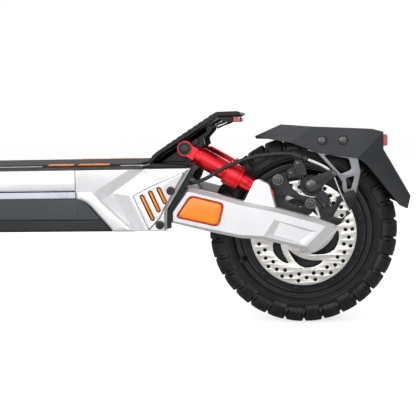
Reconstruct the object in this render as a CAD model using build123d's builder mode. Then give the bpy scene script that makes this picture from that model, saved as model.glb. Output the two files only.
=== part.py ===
from build123d import *
import math
import os

# Electric kick scooter. Millimetres. Forward is -X, the scooter's left side is -Y, the ground is Z = 0.
# Side outlines are drawn on planes seen from the left: first number rearward from an axle, second up
# from the ground. A positive extrusion on such a plane goes outboard, to the left.

# ---- Driving dimensions ----
TYRE_R = 127.5            # 10 x 3 inch off-road tyre
TYRE_HALF_W = 39
RIM_R = 92
MOTOR_R = 83
DISC_R = 70               # 140 mm brake disc
WHEELBASE = 960
REAR_REACH = 142          # mud flap, behind the rear axle
FENDER_R = 155            # front fender, outside
FENDER_NOSE = 25          # the fender's front edge, degrees above the axle
DECK_HALF_W = 100
DECK_TOP = 217
DECK_BOTTOM = 136
DECK_FRONT = -780         # from the rear axle
CAST_FRONT = -294         # seam between a side rail and the rear casting
STEER_TILT = 12           # steering axis leans back
STEER_FOOT = -25          # where the steering axis meets the ground, from the front axle
BAR_AT = 1175             # handlebar centre, along the steering axis
BAR_HALF = 300
FOLD_AT = 415             # fold pin, along the steering axis
FOLD_BACK = 24            # fold pin, behind the steering axis

# Side-to-side layers, as distances from the middle plane
HUB_HALF = 40
COVER_OUT = 48
DISC_IN = 56
DISC_OUT = 58
PLATE_IN = 61             # caliper plates
ARM_IN = 65
ARM_OUT = 86
CAST_IN = 88
CAST_OUT = 98
BOX_OUT = 103
VENT_OUT = 105
FENDER_OUT = 58
WALL = 3
AXLE_R = 8
PIVOT_R = 7.5             # swingarm pivot pin
SHOCK_BOLT_R = 5
BOLT_HEAD_R = 9
FOLD_PIN_R = 5
BAR_R = 11                # handlebar tube
RUN = 0.3                 # gap between pieces that turn or slide

# Rear suspension, from the rear axle
PIVOT = (-169, 189)
SHOCK_TOP = (-155.5, 240.5)
SHOCK_FOOT = (-47, 179.5)
# Front suspension, from the front axle
FRONT_PIVOT = (105, 165)
FRONT_SHOCK_TOP = (12, 290)
FRONT_SHOCK_FOOT = (-8, 178)

FRONT_REACH = FENDER_R * math.cos(math.radians(FENDER_NOSE))
REAR_X = (WHEELBASE + FRONT_REACH - REAR_REACH) / 2
FRONT_X = REAR_X - WHEELBASE
SIN_T = math.sin(math.radians(STEER_TILT))
COS_T = math.cos(math.radians(STEER_TILT))
MIDDLE = Plane.XZ         # the scooter's plane of symmetry


def side(y, axle_x=REAR_X, height=0, turn=0):
    """Plane seen from the left, y from the middle, its origin at an axle's x."""
    c = math.cos(math.radians(turn))
    s = math.sin(math.radians(turn))
    return Plane(origin=(axle_x, -y, height), x_dir=(c, 0, s), z_dir=(0, -1, 0))


def column(s):
    """Plane square to the steering axis, s along it from the ground: x rearward, y to the right."""
    origin = (FRONT_X + STEER_FOOT + s * SIN_T, 0, s * COS_T)
    return Plane(origin=origin, x_dir=(COS_T, 0, -SIN_T), z_dir=(SIN_T, 0, COS_T))


def column_side(y):
    """Side plane leaning with the steering axis: x rearward from the axis, y along it."""
    origin = (FRONT_X + STEER_FOOT, -y, 0)
    return Plane(origin=origin, x_dir=(COS_T, 0, -SIN_T), z_dir=(0, -1, 0))


def radial(axle_x):
    """Plane through a wheel's axle for revolved profiles: x across the scooter, y outward radius."""
    return Plane(origin=(axle_x, 0, TYRE_R), x_dir=(0, 1, 0), z_dir=(1, 0, 0))


def shape(*points, mode=Mode.ADD):
    """Polygon whose corners are places in the plane of the sketch being drawn."""
    Polygon(*points, align=None, mode=mode)


# ---- Wheels ----
def make_tyre(axle_x):
    with BuildPart() as tyre:
        with BuildSketch(radial(axle_x)):
            with BuildLine():
                crown = Polyline((-33, 119), (-27, TYRE_R), (27, TYRE_R), (33, 119))
                left = ThreePointArc(crown @ 0, (-TYRE_HALF_W, 107), (-33.5, RIM_R))
                right = ThreePointArc(crown @ 1, (TYRE_HALF_W, 107), (33.5, RIM_R))
                Polyline(left @ 1, (-30, RIM_R), (-29, RIM_R - 3), (29, RIM_R - 3), (30, RIM_R), right @ 1)
            make_face()
        revolve(axis=Axis((axle_x, 0, TYRE_R), (0, 1, 0)))
        # Tread: notches from each shoulder, staggered left to right
        for hand, start in ((-1, 0), (1, 6)):
            ring = Plane(origin=(axle_x, hand * 30, TYRE_R), x_dir=(1, 0, 0), z_dir=(0, -1, 0))
            with BuildSketch(ring):
                with PolarLocations(TYRE_R, 30, start_angle=start):
                    Rectangle(11, 8)
            extrude(amount=9.5, both=True, mode=Mode.SUBTRACT)
        ring = Plane(origin=(axle_x, 0, TYRE_R), x_dir=(1, 0, 0), z_dir=(0, -1, 0))
        with BuildSketch(ring):
            with PolarLocations(TYRE_R, 30, start_angle=3):
                Rectangle(9, 5)
        extrude(amount=12, both=True, mode=Mode.SUBTRACT)
    return tyre


def make_hub(axle_x):
    with BuildPart() as hub:
        with BuildSketch(radial(axle_x)):
            shape(
                (-34, RIM_R), (-34, 86), (-HUB_HALF, MOTOR_R), (-HUB_HALF, 73), (HUB_HALF, 73),
                (HUB_HALF, MOTOR_R), (34, 86), (34, RIM_R), (30, RIM_R), (29, RIM_R - 3),
                (-29, RIM_R - 3), (-30, RIM_R))
        revolve(axis=Axis((axle_x, 0, TYRE_R), (0, 1, 0)))
        # Slots round the rim, between the bead seats and the motor drum
        with BuildSketch(side(0, axle_x, TYRE_R)):
            with PolarLocations(0, 12):
                SlotArc(arc=CenterArc((0, 0), RIM_R - 4.6, 8, 14, mode=Mode.PRIVATE), height=1.6)
        extrude(amount=40, both=True, mode=Mode.SUBTRACT)
    return hub


def make_covers(axle_x):
    with BuildPart() as covers:
        with BuildSketch(radial(axle_x)):
            shape(
                (-HUB_HALF, AXLE_R + RUN), (-52, AXLE_R + RUN), (-52, 18), (-DISC_IN, 18), (-DISC_IN, 28),
                (-50, 30), (-COVER_OUT, 40), (-COVER_OUT, 70), (-43, MOTOR_R - 1),
                (-HUB_HALF, MOTOR_R - 1))
            shape(
                (HUB_HALF, AXLE_R + RUN), (54, AXLE_R + RUN), (54, 20), (50, 30), (COVER_OUT, 40),
                (COVER_OUT, 70), (43, MOTOR_R - 1), (HUB_HALF, MOTOR_R - 1))
        revolve(axis=Axis((axle_x, 0, TYRE_R), (0, 1, 0)))
        # Rim of cap screws on each cover
        for hand in (-1, 1):
            with BuildSketch(side(hand * HUB_HALF, axle_x, TYRE_R)):
                with PolarLocations(77, 10, start_angle=12):
                    Circle(3.6)
            extrude(amount=hand * 6)
    return covers


def make_disc(axle_x):
    with BuildPart() as disc:
        with BuildSketch(side(DISC_IN, axle_x, TYRE_R)):
            Circle(DISC_R)
            Circle(51, mode=Mode.SUBTRACT)
            # Arms lean forward from the centre ring to the braking ring
            with PolarLocations(0, 6):
                with BuildLine():
                    Polyline((20, -2), (53, 15), (49, 25), (17, 9), close=True)
                make_face()
            Circle(28)
            Circle(14, mode=Mode.SUBTRACT)
            with PolarLocations(22, 6, start_angle=30):
                Circle(2.6, mode=Mode.SUBTRACT)
            for ring_r, start in ((56, 0), (60.5, 5), (65, 0)):
                with PolarLocations(ring_r, 24, start_angle=start):
                    Circle(1.9, mode=Mode.SUBTRACT)
        extrude(amount=DISC_OUT - DISC_IN)
        with BuildSketch(side(DISC_IN, axle_x, TYRE_R)):
            with PolarLocations(22, 6, start_angle=30):
                Circle(2.6)
        extrude(amount=DISC_OUT - DISC_IN)
        with BuildSketch(side(DISC_OUT, axle_x, TYRE_R)):
            with PolarLocations(22, 6, start_angle=30):
                Circle(3.8)
        extrude(amount=2)
    return disc


tyre_rear = make_tyre(REAR_X)
hub_rear = make_hub(REAR_X)
motor_covers_rear = make_covers(REAR_X)
brake_disc_rear = make_disc(REAR_X)
tyre_front = make_tyre(FRONT_X)
hub_front = make_hub(FRONT_X)
motor_covers_front = make_covers(FRONT_X)
brake_disc_front = make_disc(FRONT_X)


def make_axle(axle_x):
    """Fixed shaft with the motor's stator on it; its ends are keyed into the arms."""
    with BuildPart() as axle:
        with BuildSketch(side(0, axle_x, TYRE_R)):
            Circle(AXLE_R)
        extrude(amount=ARM_OUT - 4, both=True)
        with BuildSketch(side(0, axle_x, TYRE_R)):
            Circle(70)
            with PolarLocations(50, 9):
                SlotOverall(30, 13, mode=Mode.SUBTRACT)
            with PolarLocations(70, 27):
                Rectangle(5, 3, mode=Mode.SUBTRACT)
        extrude(amount=17, both=True)
    return axle


axle_rear = make_axle(REAR_X)
axle_front = make_axle(FRONT_X)


# ---- Side stand: pivot under the deck's left edge, leg down and outward ----
STAND = (REAR_X - 600, -84, 124)
STAND_TILT = 35
STAND_AXIS = (0, -math.cos(math.radians(STAND_TILT)), math.sin(math.radians(STAND_TILT)))
STAND_DOWN = (0, -math.sin(math.radians(STAND_TILT)), -math.cos(math.radians(STAND_TILT)))

with BuildPart() as kickstand:
    leg_plane = Plane(origin=STAND, x_dir=(1, 0, 0), z_dir=STAND_DOWN)
    with BuildSketch(leg_plane):
        Circle(6.5)
    extrude(amount=170)
    with BuildSketch(leg_plane.offset(132)):
        Circle(9)
    extrude(amount=40)
    with BuildSketch(Plane(origin=STAND, x_dir=(1, 0, 0), z_dir=STAND_AXIS)):
        Circle(11)
    extrude(amount=5, both=True)
    with BuildSketch(Plane.XY):
        with Locations((STAND[0], -190)):
            Rectangle(80, 160)
    extrude(amount=-60, mode=Mode.SUBTRACT)
    with BuildSketch(Plane(origin=STAND, x_dir=(1, 0, 0), z_dir=STAND_AXIS)):
        Circle(4 + RUN)
    extrude(amount=8, both=True, mode=Mode.SUBTRACT)

# ---- Deck ----
with BuildPart() as side_rails:
    with BuildSketch(Plane.YZ.offset(REAR_X + DECK_FRONT)):
        shape(
            (-DECK_HALF_W, DECK_TOP), (-CAST_IN, DECK_TOP), (-CAST_IN, 180.3), (-98.5, 180.3),
            (-98.5, 187.5), (-97, 187.5), (-97, 189.5), (-DECK_HALF_W, 189.5))
    extrude(amount=CAST_FRONT - DECK_FRONT)
    mirror(about=MIDDLE)

with BuildPart() as battery_box:
    # Bracket of the side stand
    with BuildSketch(Plane(origin=STAND, x_dir=(1, 0, 0), z_dir=STAND_AXIS)):
        Circle(4)
    extrude(amount=10, both=True)
    with BuildSketch(Plane(origin=STAND, x_dir=(1, 0, 0), z_dir=STAND_AXIS).offset(-13)):
        Circle(11)
    extrude(amount=6)
    with BuildSketch(Plane.XY.offset(120)):
        with Locations((STAND[0], -62)):
            Rectangle(22, 17)
    extrude(amount=18)
    with BuildSketch(side(0)):
        shape(
            (DECK_FRONT, DECK_BOTTOM), (DECK_FRONT, 180), (-296, 180), (-296, 175), (-284, 172.5),
            (-278, 167), (-252, DECK_BOTTOM))
    extrude(amount=96, both=True)
    with BuildSketch(side(0)):
        shape(
            (DECK_FRONT, DECK_BOTTOM), (DECK_FRONT, 212), (-193, 212), (-193, DECK_BOTTOM))
    extrude(amount=CAST_IN - 0.5, both=True)
    with BuildSketch(side(0)):
        shape((DECK_FRONT + 6, 140), (DECK_FRONT + 6, 212), (-198, 212), (-198, 140))
    extrude(amount=84, both=True, mode=Mode.SUBTRACT)
    # A shallow step along the foot of each flank
    for hand in (-1, 1):
        with BuildSketch(side(hand * 95)):
            shape((DECK_FRONT, DECK_BOTTOM), (DECK_FRONT, 151), (-250, 151), (-250, DECK_BOTTOM))
        extrude(amount=hand, mode=Mode.SUBTRACT)

with BuildPart() as deck_plate:
    with BuildSketch(side(0)):
        shape((DECK_FRONT, DECK_TOP), (DECK_FRONT, 220.5), (-206, 220.5), (-206, DECK_TOP))
    extrude(amount=DECK_HALF_W, both=True)
    with BuildSketch(side(0)):
        shape((DECK_FRONT + 8, 212.2), (DECK_FRONT + 8, DECK_TOP), (-206, DECK_TOP), (-206, 212.2))
    extrude(amount=86, both=True)

with BuildPart() as deck_mat:
    with BuildSketch(Plane.XY.offset(220.5)):
        with Locations((REAR_X + (DECK_FRONT - 206) / 2, 0)):
            RectangleRounded(DECK_FRONT * -1 - 206 - 12, 2 * 97, 12)
        # Cut-out round the neck's foot
        with Locations((FRONT_X + 235, 0)):
            RectangleRounded(136, 2 * 36, 6, mode=Mode.SUBTRACT)
    extrude(amount=3.5)

with BuildPart() as battery_pack:
    with BuildSketch(Plane.XY.offset(142)):
        with Locations((REAR_X - 560, 0)):
            RectangleRounded(400, 150, 8)
    extrude(amount=60)

with BuildPart() as controller:
    with BuildSketch(Plane.XY.offset(142)):
        with Locations((REAR_X - 276, 0)):
            RectangleRounded(120, 96, 5)
    extrude(amount=34)
    with BuildSketch(Plane.XY.offset(176)):
        with Locations((REAR_X - 276, 0)):
            with GridLocations(0, 12, 1, 8):
                Rectangle(116, 4)
    extrude(amount=9)

# Rear castings: a cheek with a curved lip, a raised box at its rear and the swingarm's bearing seat
CHEEK = (
    (-294, DECK_TOP), (-294, 178), (-282, 175.5), (-276, 170), (-246, DECK_BOTTOM),
    (-177, DECK_BOTTOM), (-176, 164), (-144, DECK_TOP),
)
RAISED_BOX = (
    (-244, 188), (-202, 215), (-146, 216), (-176.5, 165), (-177, 137), (-214, 137),
)
VENT = ((-219, 183), (-151, 212), (-178, 166), (-179, 139), (-199, 139))
VENT_SLOTS = (((-208, 184), (-194, 152)), ((-196, 189), (-186, 164)), ((-184, 194), (-178, 175)))
SLOT_W = 7
CASTING_BOLTS = (PIVOT, (-184, 145))


def slot_at(start, end, width, mode=Mode.ADD):
    """Slot with round ends between two centre points of the sketch."""
    with Locations(((start[0] + end[0]) / 2, (start[1] + end[1]) / 2)):
        lean = math.degrees(math.atan2(end[1] - start[1], end[0] - start[0]))
        SlotCenterToCenter(math.dist(start, end), width, rotation=lean, mode=mode)


with BuildPart() as rear_castings:
    with BuildSketch(side(CAST_IN)):
        shape(*CHEEK)
        fillet(vertices().group_by(Axis.X)[-1], 4)
    extrude(amount=CAST_OUT - CAST_IN)
    with BuildSketch(side(CAST_OUT)):
        shape(*RAISED_BOX)
        fillet(vertices(), 2.5)
    extrude(amount=BOX_OUT - CAST_OUT, taper=20)
    # Raised lip along the curved front edge
    with BuildSketch(side(CAST_OUT)):
        with BuildLine():
            Polyline(
                (-294, 189), (-277, 189), (-266, 183), (-226, 137.5), (-245, 137.5), (-275, 171.5),
                (-281, 177), (-294, 180), close=True,
            )
        make_face()
    extrude(amount=2)
    with BuildSketch(side(CAST_IN)):
        with Locations(PIVOT):
            Circle(PIVOT_R)
    extrude(amount=8, mode=Mode.SUBTRACT)
    mirror(about=MIDDLE)

with BuildPart() as vent_covers:
    with BuildSketch(side(BOX_OUT)):
        shape(*VENT)
        fillet(vertices(), 2)
        for slot_start, slot_end in VENT_SLOTS:
            slot_at(slot_start, slot_end, SLOT_W, Mode.SUBTRACT)
        with Locations(*CASTING_BOLTS):
            Circle(3, mode=Mode.SUBTRACT)
    extrude(amount=VENT_OUT - BOX_OUT)
    mirror(about=MIDDLE)

with BuildPart() as vent_inserts:
    with BuildSketch(side(BOX_OUT)):
        for slot_start, slot_end in VENT_SLOTS:
            slot_at(slot_start, slot_end, SLOT_W)
    extrude(amount=1.6)
    mirror(about=MIDDLE)

with BuildPart() as rear_bulkhead:
    with BuildSketch(side(0)):
        shape(
            (-193, DECK_BOTTOM), (-185, DECK_BOTTOM), (-185, 203), (-150, 209), (-150, DECK_TOP),
            (-205.5, DECK_TOP), (-205.5, 212), (-193, 212))
    extrude(amount=CAST_IN - 0.5, both=True)


def shock_axis_plane(top, foot, axle_x, y):
    """Plane square to a shock absorber, at its top eye, looking down the shock."""
    span = math.dist(top, foot)
    down = ((foot[0] - top[0]) / span, 0, (foot[1] - top[1]) / span)
    return Plane(origin=(axle_x + top[0], -y, top[1]), x_dir=(0, 1, 0), z_dir=down)


SHOCK_Y = 58
EYE_HALF = 8
FOOT_IN = 59.3            # bottom eyes, between the brake disc and the arm's fin
FOOT_OUT = 66.8
EYE_BORE = 5.5


def make_shock_cylinders(top, foot, axle_x, end):
    """Upper halves of a pair of shock absorbers: top eye and plain cylinder."""
    with BuildPart() as cylinders:
        down = shock_axis_plane(top, foot, axle_x, SHOCK_Y)
        with BuildSketch(down.offset(17)):
            Circle(13)
        extrude(amount=end - 17)
        with BuildSketch(down.offset(4)):
            Rectangle(2 * EYE_HALF, 18)
        extrude(amount=14)
        with BuildSketch(side(SHOCK_Y - EYE_HALF, axle_x)):
            with Locations(top):
                Circle(11.5)
        extrude(amount=2 * EYE_HALF)
        with BuildSketch(side(SHOCK_Y - EYE_HALF, axle_x)):
            with Locations(top):
                Circle(EYE_BORE)
        extrude(amount=2 * EYE_HALF, mode=Mode.SUBTRACT)
        with BuildSketch(down.offset(19)):
            Circle(13.2)
            Circle(12.2, mode=Mode.SUBTRACT)
        extrude(amount=1.5, mode=Mode.SUBTRACT)
        mirror(about=MIDDLE)
    return cylinders


def make_shock_sleeves(top, foot, axle_x, start, length, cap):
    """Lower halves: a sleeve that slides over the cylinder, an end cap and the bottom eye."""
    span = math.dist(top, foot)
    with BuildPart() as sleeves:
        down = shock_axis_plane(top, foot, axle_x, SHOCK_Y)
        with BuildSketch(down.offset(start)):
            Circle(16)
        extrude(amount=length)
        with BuildSketch(down.offset(start + length)):
            Circle(9)
        extrude(amount=cap)
        with BuildSketch(down.offset(start)):
            Circle(13 + RUN)
        extrude(amount=length - 3, mode=Mode.SUBTRACT)
        # Flat tongue and eye
        with BuildSketch(down.offset(start + length + 2)):
            with Locations((SHOCK_Y - (FOOT_IN + FOOT_OUT) / 2, 0)):
                Rectangle(FOOT_OUT - FOOT_IN, 14)
        extrude(amount=span - start - length - 9)
        with BuildSketch(side(FOOT_IN, axle_x)):
            with Locations(foot):
                Circle(9.5)
        extrude(amount=FOOT_OUT - FOOT_IN)
        with BuildSketch(side(FOOT_IN, axle_x)):
            with Locations(foot):
                Circle(EYE_BORE)
        extrude(amount=FOOT_OUT - FOOT_IN, mode=Mode.SUBTRACT)
        mirror(about=MIDDLE)
    return sleeves


shock_cylinders_rear = make_shock_cylinders(SHOCK_TOP, SHOCK_FOOT, REAR_X, 71)
shock_sleeves_rear = make_shock_sleeves(SHOCK_TOP, SHOCK_FOOT, REAR_X, 62, 22.5, 16)
shock_cylinders_front = make_shock_cylinders(FRONT_SHOCK_TOP, FRONT_SHOCK_FOOT, FRONT_X, 51)
shock_sleeves_front = make_shock_sleeves(FRONT_SHOCK_TOP, FRONT_SHOCK_FOOT, FRONT_X, 46, 25.5, 11)

# ---- Kickplate: raised rear footrest, its ribs and its handle ----
FOOTREST = (
    (-205, 224.3), (-198, 235), (-189, 241), (-112, 288.5), (-82, 289), (-79, 286), (-81, 282),
    (-104, 282.5), (-111, 282.5), (-183, 237.5), (-192, 224.3),
)
RIB = (
    (-204, 217), (-150, 217), (-139, 243), (-133, 254), (-124, 266), (-123, 276), (-183, 238.5),
    (-204, 224.4),
)

with BuildPart() as kickplate:
    with BuildSketch(side(0)):
        shape(*FOOTREST)
    extrude(amount=75, both=True)
    for hand in (-1, 1):
        with BuildSketch(side(hand * 42)):
            shape(*RIB)
            shape((-160, 224), (-148, 240), (-160, 240), (-172, 226), mode=Mode.SUBTRACT)
        extrude(amount=hand * 7.5)
    # Foot flange on the bulkhead, handle bar and the braces that carry it
    with BuildSketch(side(0)):
        shape((-204, 217), (-152, 217), (-152, 220), (-204, 220))
    extrude(amount=60, both=True)
    with BuildSketch(side(0)):
        shape((-105, 275.5), (-104, 283), (-89, 283), (-89, 275.5))
    extrude(amount=70, both=True)
    for hand in (-1, 1):
        with BuildSketch(side(hand * 62)):
            shape((-125, 270.5), (-119, 270), (-100, 276), (-102, 282.6), (-107, 283), (-122, 274))
        extrude(amount=hand * 8)
        with BuildSketch(side(hand * 42)):
            shape((-125, 270.5), (-119, 270), (-100, 276), (-102, 282.6), (-107, 283), (-122, 274))
        extrude(amount=hand * 28)
    for hand in (-1, 1):
        with BuildSketch(side(hand * 42)):
            with Locations(SHOCK_TOP):
                Circle(SHOCK_BOLT_R)
        extrude(amount=hand * 7.5, mode=Mode.SUBTRACT)

with BuildPart() as kickplate_lamps:
    with BuildSketch(side(0)):
        shape((-89, 274.5), (-89, 281), (-81, 281), (-80, 280), (-80, 275.5), (-81, 274.5))
    extrude(amount=69, both=True)
    with BuildSketch(side(0)):
        shape((-90, 270), (-90, 290), (-70, 290), (-70, 270))
    extrude(amount=20, both=True, mode=Mode.SUBTRACT)

# ---- Front neck: head tube, gooseneck and front wall of the deck ----
HEAD_LOW = 318
HEAD_HIGH = 392
STEERER_R = 14
with BuildPart() as front_neck:
    with BuildSketch(side(0, FRONT_X)):
        shape(
            (48, 330), (48, 374), (76, 371), (120, 345), (215, 232), (300, 224.2), (300, 220.6),
            (180, 220.6), (180, 206), (172, 206), (168, 240), (122, 314), (70, 322))
    extrude(amount=34, both=True)
    with BuildSketch(side(0, FRONT_X)):
        shape((180 - 12, DECK_BOTTOM + 6), (172, 222), (180, 222), (180, DECK_BOTTOM + 1))
    extrude(amount=92, both=True)
    with BuildSketch(column(HEAD_LOW)):
        Circle(27)
    extrude(amount=HEAD_HIGH - HEAD_LOW)
    with BuildSketch(column(HEAD_LOW - 1)):
        Circle(STEERER_R + RUN)
    extrude(amount=HEAD_HIGH - HEAD_LOW + 2, mode=Mode.SUBTRACT)

# ---- Rear swingarm ----
ARM = (
    (-149, 191), (-153, 188), (-172, 160), (-172, 145), (-124, 133), (-82, 124), (-53, 122),
    (-2, 109), (15, 105), (43, 134), (41, 140), (23, 147), (-34, 163), (-81, 173), (-105, 180),
)
FIN = ((-75, 168), (-62, 199), (-56, 201), (-43, 194), (-33, 158))
PANEL = ((-36, 148), (12, 133.5), (1, 117), (-50, 129))

with BuildPart() as swingarm_left:
    with BuildSketch(side(ARM_IN)):
        shape(*ARM)
    extrude(amount=ARM_OUT - ARM_IN)
    chamfer(faces().sort_by(Axis.Y)[0].edges(), 4)
    with BuildSketch(side(ARM_IN + 3)):
        shape(*FIN)
        fillet(vertices().group_by(Axis.Z)[-1], 2)
    extrude(amount=10)
    # Recessed panel at the wheel end
    with BuildSketch(side(ARM_OUT - 1.5)):
        shape(*PANEL)
    extrude(amount=2, mode=Mode.SUBTRACT)
    # Inward lug that carries the pivot barrel
    with BuildSketch(side(62.5)):
        shape((-172, 160), (-182, 190), (-170, 202), (-150, 190), (-140, 150), (-172, 146))
    extrude(amount=6)
    with BuildSketch(side(62.5)):
        with Locations(PIVOT):
            Circle(PIVOT_R + RUN)
    extrude(amount=ARM_OUT, mode=Mode.SUBTRACT)
    with BuildSketch(side(ARM_IN, REAR_X, TYRE_R)):
        Circle(AXLE_R)
    extrude(amount=ARM_OUT - 4 - ARM_IN, mode=Mode.SUBTRACT)

with BuildPart() as swingarm_right:
    mirror(swingarm_left.part, about=MIDDLE)

with BuildPart() as swingarm_bridge:
    with BuildSketch(side(0)):
        shape((-182, 186), (-176, 200), (-160, 200), (-143, 178), (-140, 150), (-165, 147), (-174, 160))
        fillet(vertices(), 4)
    extrude(amount=62.3, both=True)
    with BuildSketch(side(0)):
        with Locations(PIVOT):
            Circle(PIVOT_R + RUN)
    extrude(amount=63, both=True, mode=Mode.SUBTRACT)

with BuildPart() as reflectors:
    with BuildSketch(side(ARM_OUT)):
        shape((-146, 181), (-102, 170), (-110, 140), (-166, 153))
        fillet(vertices(), 5)
    extrude(amount=3.5)
    mirror(about=MIDDLE)

# ---- Rear fender and its brackets ----
FENDER = (
    (-63, 256), (-28, 271), (90, 263), (105, 259), (106, 236), (REAR_REACH, 174), (138, 157),
    (127, 162), (98, 199), (84, 216), (72, 225), (20, 233), (-46, 252),
)
FENDER_HOLLOW = (
    (-64, 252.5), (-28, 267.8), (89.5, 260), (102, 256.5), (103, 235), (138.5, 174), (135, 150),
    (120, 120), (-70, 120),
)
NOSE_HALF = 34
PLAN = (
    (-64, -NOSE_HALF), (0, -FENDER_OUT), (150, -FENDER_OUT), (150, FENDER_OUT), (0, FENDER_OUT),
    (-64, NOSE_HALF),
)

with BuildPart() as fender_hollow:
    with BuildSketch(side(0)):
        shape(*FENDER_HOLLOW)
    extrude(amount=FENDER_OUT - WALL, both=True)
    with BuildSketch(Plane(origin=(REAR_X, 0, 100))):
        shape(*PLAN)
        offset(amount=-WALL, kind=Kind.INTERSECTION)
        shape((-80, -NOSE_HALF + 2), (-55, -NOSE_HALF + 2), (-55, NOSE_HALF - 2), (-80, NOSE_HALF - 2))
    extrude(amount=200, mode=Mode.INTERSECT)

with BuildPart() as rear_fender:
    with BuildSketch(side(0)):
        shape(*FENDER)
    extrude(amount=FENDER_OUT, both=True)
    with BuildSketch(Plane(origin=(REAR_X, 0, 100))):
        shape(*PLAN)
    extrude(amount=200, mode=Mode.INTERSECT)
    add(fender_hollow.part, mode=Mode.SUBTRACT)

FENDER_SCREWS = ((26, 249), (53, 249))
with BuildPart() as fender_brackets:
    with BuildSketch(side(FENDER_OUT - WALL - 3)):
        shape(
            (6, 238), (12, 256), (66, 254), (72, 226), (75, 205), (68, 175), (55, 177), (50, 194),
            (44, 204), (19, 233),
        )
        shape((34, 229), (62, 224), (65, 209), (53, 204), mode=Mode.SUBTRACT)
        shape((58, 197), (68, 200), (63, 184), (60, 184), mode=Mode.SUBTRACT)
    extrude(amount=3)
    with BuildSketch(side(FENDER_OUT - WALL)):
        with Locations((61.5, 180)):
            Circle(5)
    extrude(amount=PLATE_IN - FENDER_OUT + WALL)
    mirror(about=MIDDLE)

with BuildPart() as tail_light:
    with BuildSketch(side(0)):
        shape((106.2, 240), (106.2, 256), (112, 255), (113, 253), (113, 242), (112, 240))
    extrude(amount=32, both=True)

with BuildPart() as swingarm_bolts:
    for hand in (-1, 1):
        with BuildSketch(side(hand * FENDER_OUT)):
            with Locations(*FENDER_SCREWS):
                Circle(6)
        extrude(amount=hand * 2.2)
        # Shock foot pins, headed on the outside of the fins
        with BuildSketch(side(hand * (FOOT_IN - 0.3))):
            with Locations(SHOCK_FOOT):
                Circle(4.4)
        extrude(amount=hand * (ARM_IN + 3 - FOOT_IN + 0.3))

# ---- Brakes ----
CAL = (11, 64.5)          # caliper arm pivot, from the axle
CABLE_Y = 74.5


def make_caliper_plate(axle_x, turn):
    """Plate between the arm and the disc; it carries the caliper and the foot of the fender bracket."""
    with BuildPart() as plate:
        with BuildSketch(side(PLATE_IN, axle_x, TYRE_R, turn)):
            shape(
                (-41, 68), (-38, 79), (-26, 80), (-17, 70), (-6, 51), (20, 44), (40, 46), (55, 58),
                (67, 59), (69, 48), (58, 30), (44, 12), (-30, 22), (-34, 36), (-35.5, 60))
            shape((28, 28), (44, 42), (50, 31), mode=Mode.SUBTRACT)
            with Locations((-11.5, 43.5)):
                SlotCenterToCenter(22, 8, rotation=-22, mode=Mode.SUBTRACT)
            fillet(vertices(), 1.6)
        extrude(amount=ARM_IN - PLATE_IN)
    return plate


def make_caliper(axle_x, turn):
    """Mechanical caliper that straddles the disc's rim, with its cable stop."""
    with BuildPart() as caliper:
        with BuildSketch(side(59, axle_x, TYRE_R, turn)):
            with Locations(CAL):
                Circle(15)
        extrude(amount=17)
        # Bridge over the disc's edge and the inner pad holder
        with BuildSketch(side(50, axle_x, TYRE_R, turn)):
            shape((0, 73.5), (28, 70.5), (31, 82), (3, 87))
        extrude(amount=20)
        with BuildSketch(side(50, axle_x, TYRE_R, turn)):
            shape((-4, 54), (22, 51), (31, 82), (3, 87))
        extrude(amount=5)
        # Mounting ears on the plate, and the finned block beside the pivot
        with BuildSketch(side(ARM_IN, axle_x, TYRE_R, turn)):
            shape(
                (-36, 76), (-28, 78), (0, 76), (8, 60), (14, 44), (6, 36), (0, 44), (-14, 62),
                (-34, 66),
            )
        extrude(amount=5)
        with BuildSketch(side(ARM_IN, axle_x, TYRE_R, turn)):
            shape((20, 62), (32, 52), (41, 38), (31, 28), (18, 44), (14, 54))
        extrude(amount=8)
        with BuildSketch(side(73, axle_x, TYRE_R, turn)):
            shape((22, 62), (34, 50), (28, 46), (17, 57))
            with Locations((-32, 70.5), (10, 40.5)):
                Circle(5.5)
        extrude(amount=3)
        # Cable stop: bracket, barrel adjuster and the sleeve over the wire
        with BuildSketch(side(69, axle_x, TYRE_R, turn)):
            shape((-16, 72), (-17, 104), (-8, 104), (4, 84), (6, 74))
        extrude(amount=5)
        with BuildLine(side(CABLE_Y, axle_x, TYRE_R, turn)) as wire:
            FilletPolyline((-20, 105.4), (-4, 104.2), (13, 98.5), (27, 87), radius=14)
        with BuildSketch(Plane(origin=wire.line @ 0, z_dir=wire.line % 0)):
            Circle(4.5)
        extrude(amount=14)
        with BuildSketch(Plane(origin=wire.line @ 0, z_dir=wire.line % 0)):
            Circle(2.4)
        sweep(path=wire.line)
        with BuildSketch(side(ARM_IN, axle_x, TYRE_R, turn)):
            with Locations((-32, 70.5), (10, 40.5)):
                Circle(5.5)
        extrude(amount=11)
    return caliper


def make_caliper_arm(axle_x, turn):
    """Lever of the caliper with the cable clamp and the free end of the wire."""
    with BuildPart() as arm:
        with BuildSketch(side(76 + RUN, axle_x, TYRE_R, turn)):
            with Locations(CAL):
                Circle(10)
            shape((9, 74), (18, 58), (43, 77), (39, 83))
            with Locations((40, 79.5)):
                Circle(5)
        extrude(amount=5)
        with BuildSketch(side(81 + RUN, axle_x, TYRE_R, turn)):
            with Locations(CAL):
                Circle(5.5)
            with Locations((40, 79.5)):
                Circle(3.5)
        extrude(amount=3)
        with BuildLine(side(78, axle_x, TYRE_R, turn)) as tail:
            FilletPolyline((40, 79), (46, 58), (54, 42), (59, 29), radius=12)
        with BuildSketch(Plane(origin=tail.line @ 0, z_dir=tail.line % 0)):
            Circle(0.8)
        sweep(path=tail.line)
    return arm


caliper_plate_rear = make_caliper_plate(REAR_X, 0)
caliper_rear = make_caliper(REAR_X, 0)
caliper_arm_rear = make_caliper_arm(REAR_X, 0)

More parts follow.
